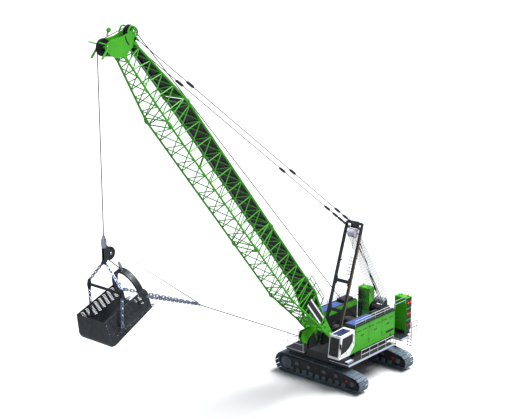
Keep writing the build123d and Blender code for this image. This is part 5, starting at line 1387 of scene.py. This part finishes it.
class CraneBucket(bpy.types.Operator):
    """Bucket with its drain slots cut through the side walls"""
    bl_idname = "crane.bucket"
    bl_label = "Bucket"

    def execute(self, context):
        source = frame["nodes"]["bucket"]
        shell = source.copy()
        shell.data = source.data.copy()
        shell.data.transform(source.matrix_world)
        shell.parent = None
        shell.matrix_world = Matrix.Identity(4)
        context.scene.collection.objects.link(shell)
        only(shell)
        bpy.ops.object.mode_set(mode="EDIT")
        bpy.ops.mesh.select_all(action="SELECT")
        bpy.ops.mesh.remove_doubles(threshold=1e-5)
        bpy.ops.object.mode_set(mode="OBJECT")
        bpy.ops.mesh.customdata_custom_splitnormals_clear()
        slot = block((-0.13, -1.3, -0.024), (0.13, 1.3, 0.024), 0)
        slot.data.transform(Matrix.Rotation(BUCKET_PITCH, 4, "Y"))
        places = [at(0.4 + 0.36 * column + 0.02 * row, 0,
                     1.3 - 0.1 * row) for column in range(8) for row in range(8)]
        cutters = repeated(slot, places)
        cutters.data.transform(BUCKET)
        # the heel is deeper and rounder than the solid's, so this piece does not keep the form of the solid
        back = BUCKET.inverted()
        for vertex in shell.data.vertices:
            u, y, v = back @ vertex.co
            deep = max(0, min(1, (BACK_TOP - v) / 1.0))
            v -= HEEL_DROP * max(0, min(1, 1 - u / DROP_LENGTH)) * max(0, min(1, 1 - v / DROP_HEIGHT))
            u -= HEEL_BACK * max(0, min(1, 1 - u / BACK_LENGTH)) * deep
            vertex.co = BUCKET @ Vector((u, y, v))
        only(shell)
        bpy.ops.object.modifier_add(type="BOOLEAN")
        cut = shell.modifiers[-1]
        cut.operation = "DIFFERENCE"
        cut.solver = "EXACT"
        cut.object = cutters
        bpy.ops.object.modifier_apply(modifier=cut.name)
        bpy.data.objects.remove(cutters)
        add_piece(shell, "bucket_shell", "bucket plate", "bucket", 30)
        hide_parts("bucket")
        return {"FINISHED"}


class CraneBucketTrim(bpy.types.Operator):
    """Tooth caps, wear plates, strips and bolts of the bucket"""
    bl_idname = "crane.bucket_trim"
    bl_label = "Bucket trim"

    def execute(self, context):
        caps, wear, strips, heads = [], [], [], []
        for i in range(5):
            y = (i - 2) * 0.51
            cap = plate([(3.5, -0.045), (3.5, 0.1), (3.64, 0.098), (3.888, 0.02), (3.888, -0.005)], y - 0.09,
                        y + 0.09, 0.008)
            caps.append(cap)
        for side in (-1, 1):
            y0, y1 = across(side, 1.15, 1.158)
            wear.append(block((0.45, y0, 0.02), (3.45, y1, 0.16), 0.004))
            wear.append(block((3.3, y0, 0.2), (3.5, y1, 0.78), 0.004))
            wear.append(block((0.02, y0, 1.33), (3.4, y1, 1.44), 0.004))
            for row in range(9):
                z = 0.3 + row * 0.11
                y0, y1 = across(side, 1.15, 1.154)
                strips.append(block((0.3, y0, z), (0.8, y1, z + 0.022), 0.002))
            bolt = turned([(0.0001, 0.016), (0.018, 0.016), (0.024, 0.01), (0.024, 0), (0.0001, 0)], 10)
            turn = facing(side)
            places = [at(x, side * 1.157, 0.09) @ turn for x in (0.6, 0.95, 1.3, 1.65, 2.0, 2.35, 2.7, 3.05,
                                                                 3.35)]
            places += [at(0.12, side * 1.149, z) @ turn for z in (0.55, 0.75, 0.95, 1.15)]
            heads.append(repeated(bolt, places))
        add_piece(caps, "tooth_caps", "worn links", "bucket", 30, BUCKET)
        add_piece(wear, "bucket_wear_plates", "bucket plate", "bucket", 30, BUCKET)
        add_piece(strips, "bucket_strips", "black iron", "bucket", 30, BUCKET)
        add_piece(heads, "bucket_bolts", "worn links", "bucket", 30, BUCKET)
        return {"FINISHED"}


class CraneSockets(bpy.types.Operator):
    """Rope sockets at the block, the arch and the drag gear, and the caps of the block's pins"""
    bl_idname = "crane.sockets"
    bl_label = "Rope sockets"

    def execute(self, context):
        top = 14.76
        line_x = PIN["bucket_tip"].x
        socket = turned([(0.018, 0.72), (0.07, 0.72), (0.09, 0.66), (0.16, 0.45), (0.16, 0.12), (0.12, 0.0),
                         (0.018, 0)], 24)
        add_piece(socket, "hoist_rope_socket", "zinc plate", "hoist_line", 35,
                  at(line_x, 0, top) @ Matrix.Rotation(pi / 2, 4, "X"))
        wedge = plate([(-0.12, -0.05), (0.1, -0.09), (0.55, -0.05), (0.55, 0.06), (0.1, 0.1), (-0.12, 0.05)],
                      -0.05, 0.05, 0.012)
        add_piece(wedge, "arch_rope_socket", "zinc plate", "bucket", 35,
                  BUCKET @ at(3.23, 0, 2.74) @ Matrix.Rotation(-pi / 2, 4, "Y"))
        caps = []
        block_x = PIN["dump_sheave_spin"]
        for side in (-1, 1):
            cap = turned([(0.0001, 0.03), (0.07, 0.03), (0.085, 0.015), (0.085, 0), (0.0001, 0)], 20)
            turn = facing(side)
            caps.append(moved(cap, Matrix.Translation(block_x + Vector((0, side * 0.12, 0))) @ turn))
        add_piece(caps, "block_pin_caps", "zinc plate", "hoist_line", 35)
        return {"FINISHED"}


# ---------------------------------------------------------------- stage
CAMERA_PLACE, CAMERA_LENS, CAMERA_AZIMUTH, CAMERA_ELEVATION = (56.035, 47.6, 33.36), 81.13, 40.67, 14.53
FAR = 900  # size of the floor and the camera's reach


class CraneStage(bpy.types.Operator):
    """Pale floor, soft light and camera"""
    bl_idname = "crane.stage"
    bl_label = "Stage"

    def execute(self, context):
        scene = context.scene
        bare()
        bpy.ops.mesh.primitive_plane_add(size=FAR, location=(0, 0, -0.004))
        floor = context.object
        floor.name = "floor"
        material = bpy.data.materials.new("pale floor")
        material.use_nodes = True
        tree = material.node_tree
        tree.nodes.clear()
        path = add_node(tree, "ShaderNodeLightPath")
        seen = add_node(tree, "ShaderNodeMath", {"operation": "MAXIMUM"},
                        {0: path.outputs["Is Camera Ray"], 1: path.outputs["Is Transmission Ray"]})
        dull = add_node(tree, "ShaderNodeBsdfDiffuse", {"Color": (0.38, 0.38, 0.4, 1)})
        pale = add_node(tree, "ShaderNodeBsdfDiffuse", {"Color": (0.9, 0.9, 0.9, 1)})
        mix = add_node(tree, "ShaderNodeMixShader", links={0: seen.outputs["Value"], 1: dull.outputs["BSDF"],
                                                           2: pale.outputs["BSDF"]})
        add_node(tree, "ShaderNodeOutputMaterial", links={"Surface": mix.outputs["Shader"]})
        floor.data.materials.append(material)

        world = bpy.data.worlds.new("studio")
        scene.world = world
        world.use_nodes = True
        tree = world.node_tree
        tree.nodes.clear()
        path = add_node(tree, "ShaderNodeLightPath")
        seen = add_node(tree, "ShaderNodeMath", {"operation": "MAXIMUM"},
                        {0: path.outputs["Is Camera Ray"], 1: path.outputs["Is Transmission Ray"]})
        soft = add_node(tree, "ShaderNodeBackground", {"Color": (0.86, 0.92, 1.0, 1), "Strength": 0.28})
        white = add_node(tree, "ShaderNodeBackground", {"Color": (1, 1, 1, 1), "Strength": 1.0})
        mix = add_node(tree, "ShaderNodeMixShader",
                       links={0: seen.outputs["Value"], 1: soft.outputs["Background"],
                                                           2: white.outputs["Background"]})
        add_node(tree, "ShaderNodeOutputWorld", links={"Surface": mix.outputs["Shader"]})

        # the crisp key stays off the floor, which takes only the soft one
        off = bpy.data.collections.new("floor")
        off.objects.link(floor)
        off.collection_objects[0].light_linking.link_state = "EXCLUDE"
        for name, power, angle, toward in (("key", 2.2, 12, (-0.2, 0.6, 0.77)),
                                           ("fill", 0.7, 60, (0.9, 0.35, 0.2)),
                                           ("overhead", 4.8, 40, (-0.4, 0.2, 0.88))):
            lamp = bpy.data.lights.new(name, "SUN")
            lamp.energy = power
            lamp.angle = radians(angle)
            obj = bpy.data.objects.new(name, lamp)
            obj.rotation_euler = Vector(toward).to_track_quat("Z", "Y").to_euler()
            scene.collection.objects.link(obj)
            if name != "overhead":
                obj.light_linking.receiver_collection = off

        lens = bpy.data.cameras.new("camera")
        lens.lens, lens.sensor_width, lens.clip_end = CAMERA_LENS, 36, FAR
        eye = bpy.data.objects.new("camera", lens)
        azimuth, elevation = radians(CAMERA_AZIMUTH), radians(CAMERA_ELEVATION)
        look = Vector((-cos(azimuth) * cos(elevation), -sin(azimuth) * cos(elevation), -sin(elevation)))
        eye.location = CAMERA_PLACE
        eye.rotation_euler = look.to_track_quat("-Z", "Y").to_euler()
        scene.collection.objects.link(eye)
        scene.camera = eye
        scene.render.resolution_x, scene.render.resolution_y = 510, 419
        scene.view_settings.view_transform = "Standard"
        return {"FINISHED"}


# ---------------------------------------------------------------- panel
STEPS = (CraneFinishes, CraneBoom, CraneJoints, CraneBoomDeck, CraneHead, CraneRopes, CraneLuffing,
         CraneWinches,
         CraneMast, CraneCabGlass, CraneCabTrim, CraneCabInside, CraneDoors, CraneRoofs, CraneCounterweight,
         CraneDecks, CraneRearLadder, CraneFootTrim, CraneTracks, CraneBucket, CraneBucketTrim, CraneSockets,
         CraneStage)


class CranePanel(bpy.types.Panel):
    """The crane's steps, sizes and colours"""
    bl_idname = "CRANE_PT_looks"
    bl_label = "Crawler crane"
    bl_space_type = "VIEW_3D"
    bl_region_type = "UI"
    bl_category = "Crane"

    def draw(self, context):
        for step in STEPS:
            self.layout.operator(step.bl_idname)
        for group in (context.scene.crane_sizes, context.scene.crane_colours):
            for key in group.bl_rna.properties.keys():
                if key not in ("rna_type", "name"):
                    self.layout.prop(group, key)


CLASSES = (CraneSizes, CraneColours, *STEPS, CranePanel)


def register():
    for cls in CLASSES:
        bpy.utils.register_class(cls)
    bpy.types.Scene.crane_sizes = bpy.props.PointerProperty(type=CraneSizes)
    bpy.types.Scene.crane_colours = bpy.props.PointerProperty(type=CraneColours)


def unregister():
    del bpy.types.Scene.crane_sizes
    del bpy.types.Scene.crane_colours
    for cls in reversed(CLASSES):
        bpy.utils.unregister_class(cls)


def main():
    register()
    for step in STEPS:
        group, name = step.bl_idname.split(".")
        if getattr(getattr(bpy.ops, group), name)() != {"FINISHED"}:
            raise RuntimeError(step.bl_label + " did not finish")


if __name__ == "__main__":
    main()
